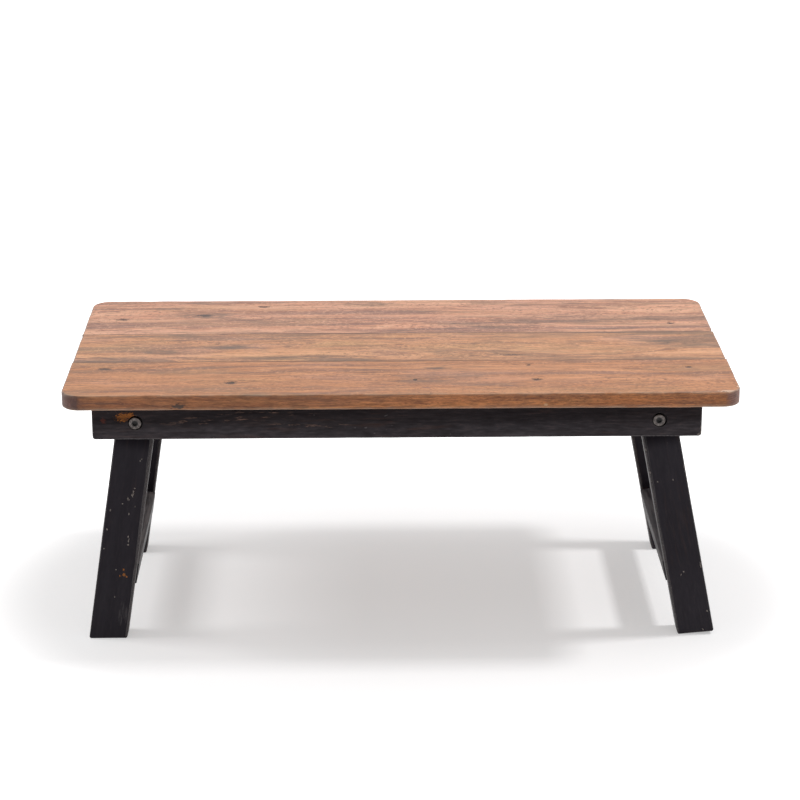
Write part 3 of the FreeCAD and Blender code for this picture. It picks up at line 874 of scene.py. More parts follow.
@dataclass
class Plank:
    """A plank with worn, uneven arrises, made from an outline and a thickness.

    Attributes:
        name: The piece's name.
        outline: Its outline in its own u and v, with the grain along u.
        thickness: Its size along w.
        placing: Where its own axes lie in the frame.
        arrises: The rounding of its edges along the bottom, right, top and left side.
        pitch: The size of its mesh along and across the grain.
        hollow: How deep the surface is worn in at a place.
        bores: The holes in it.
        face_wear: How pale its upper and lower arrises are: wear and painted light.
        unevenness: How much its arrises vary along their length, from 0 to 1.
        taper: How much smaller its arrises are at the far end of the grain, from 0 to 1.
    """

    name: str
    outline: Outline
    thickness: float
    placing: Matrix
    arrises: tuple[float, float, float, float]
    pitch: Span
    hollow: Callable[[Vector], float]
    bores: Sequence[Bore] = ()
    face_wear: Span = (1.0, 1.0)
    unevenness: float = 0.45
    taper: float = 0.0

    LEAST_STEPS = 4
    ARRIS_STEPS = 4
    SIDE_STEPS = 4
    CROWDING = 0.72
    UNEVEN_PITCH = 55.0
    SMOOTH_TURN = 0.5
    CLOSING = 5.0
    LEAST_WEAR = 0.3
    SHARP_ANGLE = math.radians(40)
    CUTTER_SEGMENTS = 44
    CUTTER_LEAD = 1 * MM

    def edge(self) -> tuple[list[Vector], list[float], int, int]:
        """Return the outline's points, their arris radii, and the steps along and across."""
        sides = self.outline.sides
        lengths = [sum((b - a).length for a, b in zip(side, side[1:])) for side in sides]
        along = max(self.LEAST_STEPS, round(max(lengths[0], lengths[2]) / self.pitch[0]))
        across = max(self.LEAST_STEPS, round(max(lengths[1], lengths[3]) / self.pitch[1]))
        points: list[Vector] = []
        radii: list[float] = []
        for number, side in enumerate(sides):
            count = across if number % 2 else along
            points += Outline.spread(side, count, self.CROWDING)[:-1]
            radii += [self.arrises[number]] * count
        seed = float(sum(map(ord, self.name)))
        far = max(point.x for point in points)
        for index, point in enumerate(points):
            place = Vector((point.x * self.UNEVEN_PITCH, point.y * self.UNEVEN_PITCH, seed))
            radii[index] *= 1 + self.unevenness * noise.noise(place)
            radii[index] *= 1 - self.taper * max(0.0, point.x / far)
        return points, radii, along, across

    def insets(self, points: Sequence[Vector], radii: Sequence[float]) -> list[Vector]:
        """Return at each point the step from the outline to the inner edge of its arris.

        Args:
            points: The outline's points.
            radii: Their arris radii.

        Returns:
            The steps. At a sharp corner each side keeps its own radius, and the points beside it
            close up so that none lies outside the other side's arris.
        """
        count = len(points)
        steps = []
        corners = []
        for index, point in enumerate(points):
            back = (point - points[index - 1]).normalized()
            ahead = (points[(index + 1) % count] - point).normalized()
            first = Vector((-back.y, back.x))
            second = Vector((-ahead.y, ahead.x))
            turn = first.dot(second)
            if turn > self.SMOOTH_TURN:
                steps.append((first + second) / (1 + turn) * radii[index])
            else:
                before, after = radii[index - 1], radii[index]
                step = first * (before - after * turn) + second * (after - before * turn)
                steps.append(step / (1 - turn * turn))
                corners.append((index, -back, -1))
                corners.append((index, ahead, 1))
        for index, way, stride in corners:
            shift = steps[index].dot(way)
            reach = self.CLOSING * shift
            other = (index + stride) % count
            while (away := (points[other] - points[index]).length) < reach:
                steps[other] = steps[other] + way * (shift * (1 - away / reach))
                other = (other + stride) % count
        return steps

    def levels(self) -> list[tuple[float, float, float, float]]:
        """Return the rings from the upper to the lower face.

        Returns:
            For each ring, its inset in radii, its height as a share of the thickness, its step
            from there in radii, and its wear.
        """
        turns = [math.pi / 2 * step / self.ARRIS_STEPS for step in range(self.ARRIS_STEPS + 1)]
        upper = [(1 - math.sin(turn), 1.0, math.cos(turn) - 1, self.arris_wear(turn, 0))
                 for turn in turns]
        lower = [(1 - math.sin(turn), 0.0, 1 - math.cos(turn), self.arris_wear(turn, 1))
                 for turn in turns]
        between = [(0.0, 1 - step / self.SIDE_STEPS, 0.0, 0.0) for step in range(1, self.SIDE_STEPS)]
        return upper + between + lower[::-1]

    def arris_wear(self, turn: float, face: int) -> float:
        """Return an arris's wear and painted light at a turn from its face, strongest in its middle."""
        rub = self.LEAST_WEAR + (1 - self.LEAST_WEAR) * math.sin(2 * turn)
        return self.face_wear[face] * rub

    def shell(self) -> bmesh.types.BMesh:
        """Return the closed mesh in the plank's own axes, with its wear stored on it."""
        mesh = bmesh.new()
        wear = mesh.verts.layers.float.new("wear")
        points, radii, along, across = self.edge()
        insets = self.insets(points, radii)
        rings = []
        for inset, share, step, worn in self.levels():
            ring = []
            for point, radius, way in zip(points, radii, insets):
                flat = point + way * inset
                vertex = mesh.verts.new((flat.x, flat.y, share * self.thickness + step * radius))
                vertex[wear] = worn
                ring.append(vertex)
            rings.append(ring)
        count = len(points)
        for upper, lower in zip(rings, rings[1:]):
            for index in range(count):
                after = (index + 1) % count
                mesh.faces.new((upper[index], lower[index], lower[after], upper[after]))
        self.cover(mesh, rings[0], along, across, False)
        self.cover(mesh, rings[-1], along, across, True)
        mesh.normal_update()
        moves = [vertex.normal * self.hollow(vertex.co) for vertex in mesh.verts]
        for vertex, move in zip(mesh.verts, moves):
            vertex.co -= move
        return mesh

    @staticmethod
    def cover(mesh: bmesh.types.BMesh, ring: Sequence[bmesh.types.BMVert], along: int, across: int,
              flip: bool) -> None:
        """Fill a ring with a grid that follows its four sides.

        Args:
            mesh: The mesh.
            ring: The ring's vertices, anticlockwise from low u and low v.
            along: The steps along the bottom and the top.
            across: The steps along the right and the left.
            flip: True for the lower face, which looks the other way.
        """
        closed = [*ring, ring[0]]
        bottom = closed[:along + 1]
        right = closed[along:along + across + 1]
        top = closed[along + across:2 * along + across + 1][::-1]
        left = closed[2 * along + across:][::-1]
        grid = [[None] * (along + 1) for _ in range(across + 1)]
        for j in range(across + 1):
            v = (left[j].co - left[0].co).length / (left[-1].co - left[0].co).length
            for i in range(along + 1):
                if j in (0, across):
                    grid[j][i] = bottom[i] if j == 0 else top[i]
                elif i in (0, along):
                    grid[j][i] = left[j] if i == 0 else right[j]
                else:
                    u = (bottom[i].co - bottom[0].co).length / (bottom[-1].co - bottom[0].co).length
                    place = bottom[i].co.lerp(top[i].co, v) + left[j].co.lerp(right[j].co, u)
                    low = bottom[0].co.lerp(bottom[-1].co, u)
                    place -= low.lerp(top[0].co.lerp(top[-1].co, u), v)
                    grid[j][i] = mesh.verts.new(place)
        for j in range(across):
            for i in range(along):
                face = [grid[j][i], grid[j][i + 1], grid[j + 1][i + 1], grid[j + 1][i]]
                mesh.faces.new(face[::-1] if flip else face)

    def cutter(self) -> bpy.types.Object:
        """Return one object that fills all of the plank's bores."""
        mesh = bmesh.new()
        for bore in self.bores:
            turn = bore.way.to_track_quat("Z", "Y").to_matrix().to_4x4()
            placing = self.placing @ Matrix.Translation(bore.start) @ turn
            depth = -self.CUTTER_LEAD
            profile = []
            for radius, end in bore.steps:
                profile += [(radius, depth), (radius, end)]
                depth = end
            rings = []
            for radius, height in profile:
                ring = []
                for segment in range(self.CUTTER_SEGMENTS):
                    angle = 2 * math.pi * segment / self.CUTTER_SEGMENTS
                    place = Vector((radius * math.cos(angle), radius * math.sin(angle), height))
                    ring.append(mesh.verts.new(placing @ place))
                rings.append(ring)
            for low, high in zip(rings, rings[1:]):
                for index in range(self.CUTTER_SEGMENTS):
                    after = (index + 1) % self.CUTTER_SEGMENTS
                    mesh.faces.new((low[index], low[after], high[after], high[index]))
            mesh.faces.new(rings[0][::-1])
            mesh.faces.new(rings[-1])
        return new_object(f"{self.name}_cutter", mesh)

    def drill(self, piece: bpy.types.Object) -> None:
        """Cut the bores out of a finished plank."""
        cutter = self.cutter()
        cut = piece.modifiers.new("bores", "BOOLEAN")
        cut.operation = "DIFFERENCE"
        cut.solver = "EXACT"
        cut.object = cutter
        solid = piece.evaluated_get(bpy.context.evaluated_depsgraph_get())
        drilled = bpy.data.meshes.new_from_object(solid)
        piece.modifiers.clear()
        piece.data = drilled
        bpy.data.objects.remove(cutter)

    def store(self, mesh: bpy.types.Mesh, wear: kdtree.KDTree, worn: Sequence[float]) -> None:
        """Store the places along the grain, the way each place faces and the wear on a mesh.

        Args:
            mesh: The mesh, in the frame.
            wear: The undrilled mesh's vertices.
            worn: Their wear.
        """
        back = self.placing.inverted()
        along, across = ((self.placing.to_3x3() @ axis).normalized() for axis in (X_AXIS, Y_AXIS))
        mesh.attributes.new("grain", "FLOAT_VECTOR", "POINT")
        for name in ("end", "side"):
            mesh.attributes.new(name, "FLOAT", "POINT")
        grain, end, side, rub = (mesh.attributes[name].data
                                 for name in ("grain", "end", "side", "wear"))
        for index, vertex in enumerate(mesh.vertices):
            grain[index].vector = back @ vertex.co
            end[index].value = abs(vertex.normal.dot(along))
            side[index].value = abs(vertex.normal.dot(across))
            rub[index].value = worn[wear.find(vertex.co)[1]]

    def build(self) -> bpy.types.Object:
        """Return the finished plank, in place in the frame."""
        mesh = self.shell()
        layer = mesh.verts.layers.float["wear"]
        mesh.transform(self.placing)
        wear = kdtree.KDTree(len(mesh.verts))
        worn = []
        for index, vertex in enumerate(mesh.verts):
            wear.insert(vertex.co, index)
            worn.append(vertex[layer])
        wear.balance()
        piece = new_object(self.name, mesh)
        if self.bores:
            self.drill(piece)
        self.store(piece.data, wear, worn)
        piece.data.shade_smooth()
        piece.data.set_sharp_from_angle(angle=self.SHARP_ANGLE)
        return piece


def new_object(name: str, mesh: bmesh.types.BMesh) -> bpy.types.Object:
    """Turn a mesh under construction into an object in the scene.

    Args:
        name: The object's name.
        mesh: The mesh, which is freed.

    Returns:
        The new object.
    """
    data = bpy.data.meshes.new(name)
    mesh.to_mesh(data)
    mesh.free()
    made = bpy.data.objects.new(name, data)
    bpy.context.scene.collection.objects.link(made)
    return made


def axes(origin: Vector, along: Vector, across: Vector) -> Matrix:
    """Return the placing of a plank's own axes.

    Args:
        origin: Where its own origin lies.
        along: The way its grain runs.
        across: The way across its grain, in its face.

    Returns:
        A matrix from the plank's own axes to the frame.
    """
    out = along.cross(across)
    placing = Matrix((along, across, out)).transposed().to_4x4()
    placing.translation = origin
    return placing


def box_outline(ends: Span, edges: Span, lower: float = 0.0, upper: float = 0.0) -> Outline:
    """Return a plank's four-sided outline.

    Args:
        ends: Its lowest and its highest u.
        edges: Its lowest and its highest v.
        lower: The radius of the two corners at the lowest v.
        upper: The radius of the two corners at the highest v.

    Returns:
        The outline.
    """
    left, right = ends
    bottom, top = edges
    return Outline([Corner(left, bottom, lower), Corner(right, bottom, lower),
                    Corner(right, top, upper), Corner(left, top, upper)])


def bar_arrises(arris: float) -> tuple[float, float, float, float]:
    """Return the arrises of a bar that meets other pieces at both ends, nearly sharp there."""
    return (arris, END_SHARE * arris, arris, END_SHARE * arris)


@dataclass(frozen=True)
class Waves:
    """Hollows that wander over a plank.

    Attributes:
        depth: How deep they go.
        along: Their frequency along the grain, per metre.
        across: Their frequency across the grain, per metre.
    """

    depth: float
    along: float
    across: float

    def hollow(self, seed: float) -> Callable[[Vector], float]:
        """Return the depth by place, with a seed that gives a plank its own hollows."""
        def depth(place: Vector) -> float:
            """Return the depth at a place."""
            where = Vector((place.x * self.along, place.y * self.across, place.z * self.across + seed))
            return self.depth * (0.5 + 0.5 * noise.noise(where))
        return depth


def dress(piece: bpy.types.Object, material: bpy.types.Material) -> None:
    """Give a piece its material."""
    piece.data.materials.clear()
    piece.data.materials.append(material)


def place_plank(plank: Plank, body: str, node: str, material: bpy.types.Material) -> None:
    """Build a plank in the place of a node of the frame.

    Args:
        plank: The plank.
        body: The body that it rides on.
        node: The node that it stands for.
        material: Its material.
    """
    piece = plank.build()
    dress(piece, material)
    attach(piece, body)
    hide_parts(node)
    LOG.info("%s: %d faces, for %s", piece.name, len(piece.data.polygons), node)


@dataclass
class Board:
    """One board of the top.

    Attributes:
        node: The frame's node that it stands for.
        wood: Its finish.
        round_front: True if its front corners are rounded.
        round_back: True if its back corners are rounded.
        trim: How far its left and right ends are cut back.
        nicks: Places on its edges that are knocked in: along, across and depth.
        nick_reach: How far such a nick reaches.
        corner_radius: The radius of its rounded corners.
        outer_arris: The rounding of its outer edges.
        seam_arris: The rounding of its glued edges.
        seam_fill: How far a glued edge is filled out into its seam.
        pitch: The size of its mesh along and across the grain.
        waves: The hollows worn into it.
        face_wear: How pale its upper and lower arrises are: wear and painted light.
    """

    node: str
    wood: BoardWood
    round_front: bool = False
    round_back: bool = False
    trim: Span = (0.0, 0.0)
    nicks: tuple[tuple[float, float, float], ...] = ()
    nick_reach: float = 3.5 * MM
    corner_radius: float = 17 * MM
    outer_arris: float = 1.6 * MM
    seam_arris: float = 0.4 * MM
    seam_fill: float = 0.09 * MM
    pitch: Span = (2.8 * MM, 2.2 * MM)
    waves: Waves = Waves(0.35 * MM, 7, 26)
    # The lower arris is paler: wear, and painted light bounced up from the floor.
    face_wear: Span = (0.35, 0.5)

    def hollow(self) -> Callable[[Vector], float]:
        """Return how deep the board is worn, with its marks and nicks."""
        waves = self.waves.hollow(self.wood.shift)
        pits = of_kind(self.wood.marks, *HOLLOWS)

        def depth(place: Vector) -> float:
            """Return the depth at a place."""
            total = waves(place)
            for mark in pits:
                u = (place.x / MM - mark.along) / (mark.length / 2)
                v = (place.y / MM - mark.across) / (mark.width / 2)
                total += HOLLOWS[mark.kind] * math.exp(-u * u - v * v)
            for along, across, deep in self.nicks:
                away = math.hypot(place.x - along, place.y - across) / self.nick_reach
                total += deep * math.exp(-away * away)
            return total
        return depth

    def build(self) -> None:
        """Build the board."""
        low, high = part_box(self.node)
        near, front_radius, front_arris = low.y - self.seam_fill, 0.0, self.seam_arris
        if self.round_front:
            near, front_radius, front_arris = low.y, self.corner_radius, self.outer_arris
        far, back_radius, back_arris = high.y + self.seam_fill, 0.0, self.seam_arris
        if self.round_back:
            far, back_radius, back_arris = high.y, self.corner_radius, self.outer_arris
        outline = box_outline((low.x + self.trim[0], high.x - self.trim[1]), (near, far),
                              front_radius, back_radius)
        plank = Plank(f"{self.node}_wood", outline, high.z - low.z,
                      Matrix.Translation((0.0, 0.0, low.z)),
                      (front_arris, self.outer_arris, back_arris, self.outer_arris),
                      self.pitch, self.hollow(), face_wear=self.face_wear)
        place_plank(plank, TOP_BODY, self.node, self.wood.make())


@dataclass
class Top:
    """The three boards of the top, each with its own figure and marks.

    Attributes:
        seam_front: The seam between the front and the middle board.
        seam_back: The seam between the middle and the back board.
        grey_band: The usual width of the greyed band beside a seam.
    """

    seam_front: float = -52.9 * MM
    seam_back: float = 34.9 * MM
    grey_band: float = 7 * MM

    def front_board(self) -> Board:
        """Return the front board: the warmest, with small nail holes and a chipped edge."""
        marks = (
            *MarkKind.KNOT.at((-267, -73, 14, 7), (-196, -150, 12, 6, 4, 6)),
            *MarkKind.NAIL.at((-151, -115, 12, 8), (13, -109, 4, 5), (122, -110, 10, 7),
                              (117, -67, 4, 5), (262, -75, 9, 5)),
            *MarkKind.STAIN.at((-30, -85, 26, 6), (32, -79, 32, 11), (-222, -150, 50, 8, 5, 12),
                               (-268, -150, 60, 8, 9, 12)),
            *MarkKind.CHIP.at((127, -150, 3, 8, 3.5, 3), (298, -134, 3, 5, 14, 6),
                              (290, -147, 22, 4, 14.4, 2)),
        )
        wood = BoardWood("front_board_wood", 11.3, light=(0.71, 0.335, 0.166),
                         middle=(0.54, 0.222, 0.094), dark=(0.260, 0.104, 0.050), rosy=0.3,
                         olive=0.35, heart=0.3, pith=(-90 * MM, -75 * MM),
                         seams=(self.seam_front,), grey_band=0.7 * self.grey_band, marks=marks)
        return Board("front_board", wood, round_front=True)

    def middle_board(self) -> Board:
        """Return the middle board: greyed along its seams, with a split and long smears."""
        marks = (
            *MarkKind.SPLIT.at((102, -36, 24, 4)),
            *MarkKind.STAIN.at((-158, -12, 46, 16), (-221, -21, 44, 11), (252, 0, 80, 18),
                               (-100, -36, 120, 13), (-262, -38, 60, 12), (200, -47, 160, 7),
                               (14, 32, 62, 5)),
        )
        wood = BoardWood("middle_board_wood", 27.9, light=(0.79, 0.415, 0.225),
                         middle=(0.61, 0.276, 0.134), dark=(0.25, 0.112, 0.062), rosy=0.35,
                         olive=0.6, heart=0.6, pith=(10 * MM, -110 * MM),
                         seams=(self.seam_front, self.seam_back), grey_band=2.6 * self.grey_band,
                         marks=marks, smoke_slope=0.32)
        return Board("middle_board", wood, trim=(0.3 * MM, 0.5 * MM))

    def back_board(self) -> Board:
        """Return the back board: pinker, with two knots and dark heartwood streaks."""
        marks = (
            *MarkKind.KNOT.at((-187, 98, 15, 9), (-266, 85, 13, 7)),
            *MarkKind.NAIL.at((-131, 128, 12, 6), (262, 65, 8, 7)),
            *MarkKind.STAIN.at((-187, 98, 70, 20), (-226, 112, 30, 8), (-190, 138, 60, 12),
                               (2, 44, 70, 7), (58, 60, 56, 6), (86, 53, 60, 5),
                               (122, 124, 34, 10), (-27, 130, 70, 18), (200, 42, 120, 8)),
        )
        wood = BoardWood("back_board_wood", 41.7, light=(0.84, 0.465, 0.300),
                         middle=(0.66, 0.300, 0.180), dark=(0.27, 0.114, 0.076), rosy=0.6,
                         olive=0.35, heart=0.65, pith=(95 * MM, -60 * MM),
                         seams=(self.seam_back,), grey_band=self.grey_band, marks=marks,
                         smoke_slope=0.14)
        nicks = ((299.6 * MM, 39.5 * MM, 1.0 * MM),)
        return Board("back_board", wood, round_back=True, trim=(0.0, 0.6 * MM), nicks=nicks)

    def build(self) -> None:
        """Build the three boards."""
        for board in (self.front_board(), self.middle_board(), self.back_board()):
            board.build()


def pivot(side: Side) -> Vector:
    """Return the middle of a leg frame's hinge."""
    joint = next(item for item in frame["joints"] if item["name"] == f"{side.word}_fold")
    return Vector(joint["pos_m"])


def screw_places(node: str) -> list[Vector]:
    """Return the middle of each screw of a group, by the parts of its mesh that hang together.

    Args:
        node: The group's node.

    Returns:
        The middles of the screws' boxes, in order along X.
    """
    mesh = bmesh.new()
    mesh.from_mesh(frame["nodes"][node].data)
    bmesh.ops.remove_doubles(mesh, verts=mesh.verts, dist=WELD)
    unseen = set(mesh.verts)
    middles = []
    while unseen:
        part = set()
        queue = [unseen.pop()]
        while queue:
            vertex = queue.pop()
            part.add(vertex)
            linked = {edge.other_vert(vertex) for edge in vertex.link_edges} & unseen
            unseen -= linked
            queue += linked
        low = Vector(map(min, *(vertex.co for vertex in part)))
        high = Vector(map(max, *(vertex.co for vertex in part)))
        middles.append((low + high) / 2)
    mesh.free()
    return sorted(middles, key=tuple)


@dataclass
class UnderFrame:
    """The two aprons and the two end rails under the top.

    Attributes:
        lower_corner: The radius of an apron's lower corners.
        arris: The rounding of an apron's edges.
        top_share: How much of that rounding the edge under the boards has.
        rail_arris: The rounding of a rail's edges.
        pitch: The size of the mesh along and across the grain.
        bolt_sink: The radius and the depth of a bolt's counterbore.
        sink_shift: How far the counterbores lie off the bolts' centres.
        bolt_bore: The radius of a bolt's hole.
        screw_sink: The radius and the depth of a board screw's counterbore.
        screw_bore: The radius of a board screw's hole.
        shades: Painted shade under the boards' overhang, painted highlight lower down.
        apron_waves: The hollows worn into an apron.
        rail_waves: The hollows worn into a rail.
    """

    lower_corner: float = 3.0 * MM
    arris: float = 1.2 * MM
    top_share: float = 0.3
    rail_arris: float = 0.5 * MM
    pitch: Span = (2.4 * MM, 2.2 * MM)
    bolt_sink: Span = (6.6 * MM, 3.6 * MM)
    sink_shift: Vector = field(default_factory=lambda: Vector((0.5, 0.7, 0.0)) * MM)
    bolt_bore: float = 4.1 * MM
    screw_sink: Span = (3.86 * MM, 18 * MM)
    screw_bore: float = 2.06 * MM
    # Painted shadow of the boards' overhang at the aprons' tops, painted highlight lower down.
    shades: tuple[Shade, ...] = (Shade("Y", (7 * MM, 20 * MM), (1.28, 0.5)),)
    apron_waves: Waves = Waves(0.3 * MM, 9, 60)
    rail_waves: Waves = Waves(0.2 * MM, 9, 60)

    def apron_bores(self, end: End, thickness: float, height: float, bottom: float) -> list[Bore]:
        """Return an apron's bolt holes and board screw holes; its end screws are filled and painted.

        Args:
            end: Which apron.
            thickness: Its thickness.
            height: Its height.
            bottom: The height of its lower edge above the floor.

        Returns:
            The bores in the apron's own axes.
        """
        bores = []
        for side in Side:
            hinge = pivot(side)
            start = Vector((-end.value * hinge.x, hinge.z - bottom, thickness)) + self.sink_shift
            through = (self.bolt_bore, thickness + BEYOND)
            bores.append(Bore(start, -Z_AXIS, (self.bolt_sink, through)))
        for middle in screw_places(f"{end.word}_apron_screws"):
            start = Vector((-end.value * middle.x, 0.0, thickness / 2))
            bores.append(self.board_bore(start, height))
        return bores

    def board_bore(self, start: Vector, height: float) -> Bore:
        """Return the hole of a screw that goes up into the boards."""
        return Bore(start, Y_AXIS, (self.screw_sink, (self.screw_bore, height + BEYOND)))

    def apron(self, end: End, paint: BlackPaint) -> None:
        """Build one apron, its good face outwards."""
        node = f"{end.word}_apron"
        low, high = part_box(node)
        inner = high.y if end is End.FRONT else low.y
        placing = axes(Vector((0.0, inner, low.z)), -end.value * X_AXIS, Z_AXIS)
        ends = tuple(sorted((-end.value * low.x, -end.value * high.x)))
        height = high.z - low.z
        thickness = high.y - low.y
        outline = box_outline(ends, (0.0, height), self.lower_corner)
        plank = Plank(f"{node}_timber", outline, thickness, placing,
                      (self.arris, self.arris, self.top_share * self.arris, self.arris), self.pitch,
                      self.apron_waves.hollow(paint.shift),
                      self.apron_bores(end, thickness, height, low.z))
        place_plank(plank, TOP_BODY, node, paint.on_face(thickness).make())

    def rail(self, side: Side, paint: BlackPaint) -> None:
        """Build one end rail, between the aprons."""
        node = f"{side.word}_end_rail"
        low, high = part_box(node)
        placing = axes(Vector((low.x, 0.0, low.z)), Y_AXIS, Z_AXIS)
        height = high.z - low.z
        thickness = high.x - low.x
        bores = [self.board_bore(Vector((middle.y, 0.0, thickness / 2)), height)
                 for middle in screw_places(f"{side.word}_rail_screws")]
        outline = box_outline((low.y, high.y), (0.0, height))
        plank = Plank(f"{node}_timber", outline, thickness, placing, bar_arrises(self.rail_arris),
                      self.pitch, self.rail_waves.hollow(paint.shift), bores)
        place_plank(plank, TOP_BODY, node, paint.make())

    def build(self) -> None:
        """Build the aprons and the rails."""
        marks = (
            *MarkKind.RUST.at((-247, 21, 13, 8), (-241, 22.5, 9, 6)),
            *MarkKind.CHIP.at((267.5, 7, 2.4, 8), (266, 2, 4, 2.4)),
            *MarkKind.PLUG.at((-264.5, 18, 5, 5)),
            *MarkKind.RUB.at((233, 27, 14, 5), (-135, 19, 135, 10), (-90, 13, 60, 5)),
        )
        front = BlackPaint("front_apron_paint", 3.1, marks=marks, thin=0.5, relief=0.11 * MM,
                           grainy=0.3, shine=(0.19, 0.245), black=(0.0085, 0.0060, 0.0062),
                           soft_black=(0.0150, 0.0112, 0.0116), shades=self.shades)
        self.apron(End.FRONT, front)
        self.apron(End.BACK, BlackPaint("back_apron_paint", 17.3, thin=0.7, shades=self.shades))
        for side, shift in ((Side.LEFT, 23.9), (Side.RIGHT, 31.7)):
            self.rail(side, BlackPaint(f"{side.word}_rail_paint", shift, thin=0.6))


@dataclass
class LegFrame:
    """One leg frame: two legs and the stretcher between them.

    Attributes:
        side: Which frame.
        width: The legs' width.
        splay: How far they lean out, in degrees.
        foot_tilt: How far the feet are cut off level, in degrees.
        shift: A number that gives the frame its own wear.
        marks: The single marks on its front leg.
        side_wear: How much grey is painted on the legs' narrow sides, from 0 to 1.
        shine: How strongly the dull and the glossy streaks of the legs' paint shine.
        shades: Painted shade just under the apron, painted highlight towards the feet.
        foot_corner: The radius of a foot's corners.
        arris: The rounding of a leg's edges.
        inner_arris: The broader rounding of its inner edge.
        unevenness: How much a leg's arrises vary along their length, from 0 to 1.
        taper: How much smaller they are at the foot, from 0 to 1.
        stretcher_arris: The rounding of the stretcher's edges.
        stretcher_proud: How far the stretcher stands out beyond the legs' inner edges.
        stretcher_size: The stretcher's height and thickness.
        stretcher_rise: The height of its middle above the floor.
        pitch: The size of the mesh along and across the grain.
        bolt_bore: The radius of a bolt's hole.
        leg_waves: The hollows worn into a leg.
        stretcher_waves: The hollows worn into the stretcher.
        lean: The legs' lean in radians.
        down: The way that the legs run.
        hinge: The middle of the frame's hinge.
    """

    side: Side
    width: float
    splay: float
    foot_tilt: float
    shift: float
    marks: tuple[Mark, ...] = ()
    side_wear: float = 0.9
    shine: Span = (0.145, 0.157)
    # Painted shadow of the apron below the hinge, painted highlight towards the feet.
    shades: tuple[Shade, ...] = (Shade("X", (20 * MM, 34 * MM), (0.3, 1.0)),
                                 Shade("X", (130 * MM, 215 * MM), (1.0, 1.45)))
    foot_corner: float = 2.0 * MM
    arris: float = 1.6 * MM
    inner_arris: float = 3.3 * MM
    unevenness: float = 0.25
    taper: float = 0.5
    stretcher_arris: float = 0.8 * MM
    stretcher_proud: float = 1 * MM
    stretcher_size: Span = (20 * MM, 22 * MM)
    stretcher_rise: float = 58 * MM
    pitch: Span = (2.4 * MM, 2.2 * MM)
    bolt_bore: float = 3.06 * MM
    leg_waves: Waves = Waves(0.3 * MM, 12, 50)
    stretcher_waves: Waves = Waves(0.2 * MM, 12, 50)
    lean: float = field(init=False)
    down: Vector = field(init=False)
    hinge: Vector = field(init=False)

    BACK_SHIFT = 13
    STRETCHER_SHIFT = 29

    def __post_init__(self) -> None:
        """Work out the frame's lean, the way its legs run, and its hinge."""
        self.lean = math.radians(self.splay)
        self.down = Vector((self.side.value * math.sin(self.lean), 0.0, -math.cos(self.lean)))
        self.hinge = pivot(self.side)

    @classmethod
    def left(cls) -> "LegFrame":
        """Return the left frame, with a chipped and rusty front leg."""
        marks = (
            *MarkKind.CHIP.at((38, 9.6, 2, 1.6), (73.4, 5.3, 3.6, 2.6), (70, 5.8, 2, 1.2),
                              (79, 2.7, 2.2, 1.3), (83.5, -3, 1.5, 1.5), (84.6, 8.9, 2.2, 1.4),
                              (92, 4.3, 2, 1.3), (91, -13, 2, 1.5), (114.5, 6, 2, 1.2),
                              (122, 7, 2, 1.2), (109.6, -13.6, 2, 1.3), (129, -14, 2.6, 1.4),
                              (148, -1, 1.6, 1.3), (67, 6.5, 1.6, 1.0), (78, 1.5, 3.4, 1.2),
                              (118, 7, 3.4, 0.9), (175, 1, 1.4, 1.2), (40, 8.2, 2.4, 1.2)),
            *MarkKind.RUST.at((147, 6, 2.2, 2), (152, 7, 3, 2.6), (153.5, 3.5, 1.6, 1.6),
                              (153.5, 9.5, 1.8, 1.5)),
            *MarkKind.SCUFF.at((191.5, 10.7, 24, 12)),
            *MarkKind.RUB.at((80, -11, 22, 4)),
        )
        return cls(Side.LEFT, width=34.8 * MM, splay=8.9, foot_tilt=0.0, shift=51.3, marks=marks)

    @classmethod
    def right(cls) -> "LegFrame":
        """Return the right frame, which leans out further on feet that are cut off level."""
        marks = MarkKind.CHIP.at((31, -15.4, 2.4, 1.2), (53.4, -15.5, 2.4, 1.4), (64, 3.8, 1.6, 1.4),
                                 (63.4, -10, 1.6, 1.3), (54, 16, 2.4, 1.3), (155, -1, 2, 1.6),
                                 (157, -4, 2, 1.3), (151, 15, 6, 1.3), (197.5, 13.6, 1.8, 1.3),
                                 (214.6, 7, 1.8, 1.3))
        return cls(Side.RIGHT, width=33.4 * MM, splay=11.3, foot_tilt=5.0, shift=77.1, marks=marks,
                   side_wear=0.45, shine=(0.165, 0.178))

    @property
    def body(self) -> str:
        """The body that the frame rides on."""
        return f"{self.side.word}_leg_frame"

    @property
    def screw_drop(self) -> float:
        """How far down the legs the stretcher's screws are."""
        return (self.hinge.z - self.stretcher_rise) / math.cos(self.lean)

    def leg_outline(self, outer: int) -> Outline:
        """Return a leg's outline, with its round head and its slanting foot.

        Args:
            outer: The sign of v on the leg's outer edge.

        Returns:
            The outline, with u running down the leg from the hinge.
        """
        half = self.width / 2
        inner_length = (self.hinge.z - half * math.sin(self.lean)) / math.cos(self.lean)
        rise = math.tan(self.lean - math.radians(self.foot_tilt))
        outer_length = inner_length + self.width * rise
        low, high = (outer_length, inner_length) if outer < 0 else (inner_length, outer_length)
        outline = Outline([Corner(0.0, -half), Corner(low, -half, self.foot_corner),
                           Corner(high, half, self.foot_corner), Corner(0.0, half)])
        steps = 2 * Outline.ARC_STEPS
        turns = [math.pi * (step / steps - 0.5) for step in range(steps + 1)]
        head = [Vector((-half * math.cos(turn), half * math.sin(turn))) for turn in turns]
        outline.sides[-1] = head[::-1]
        return outline

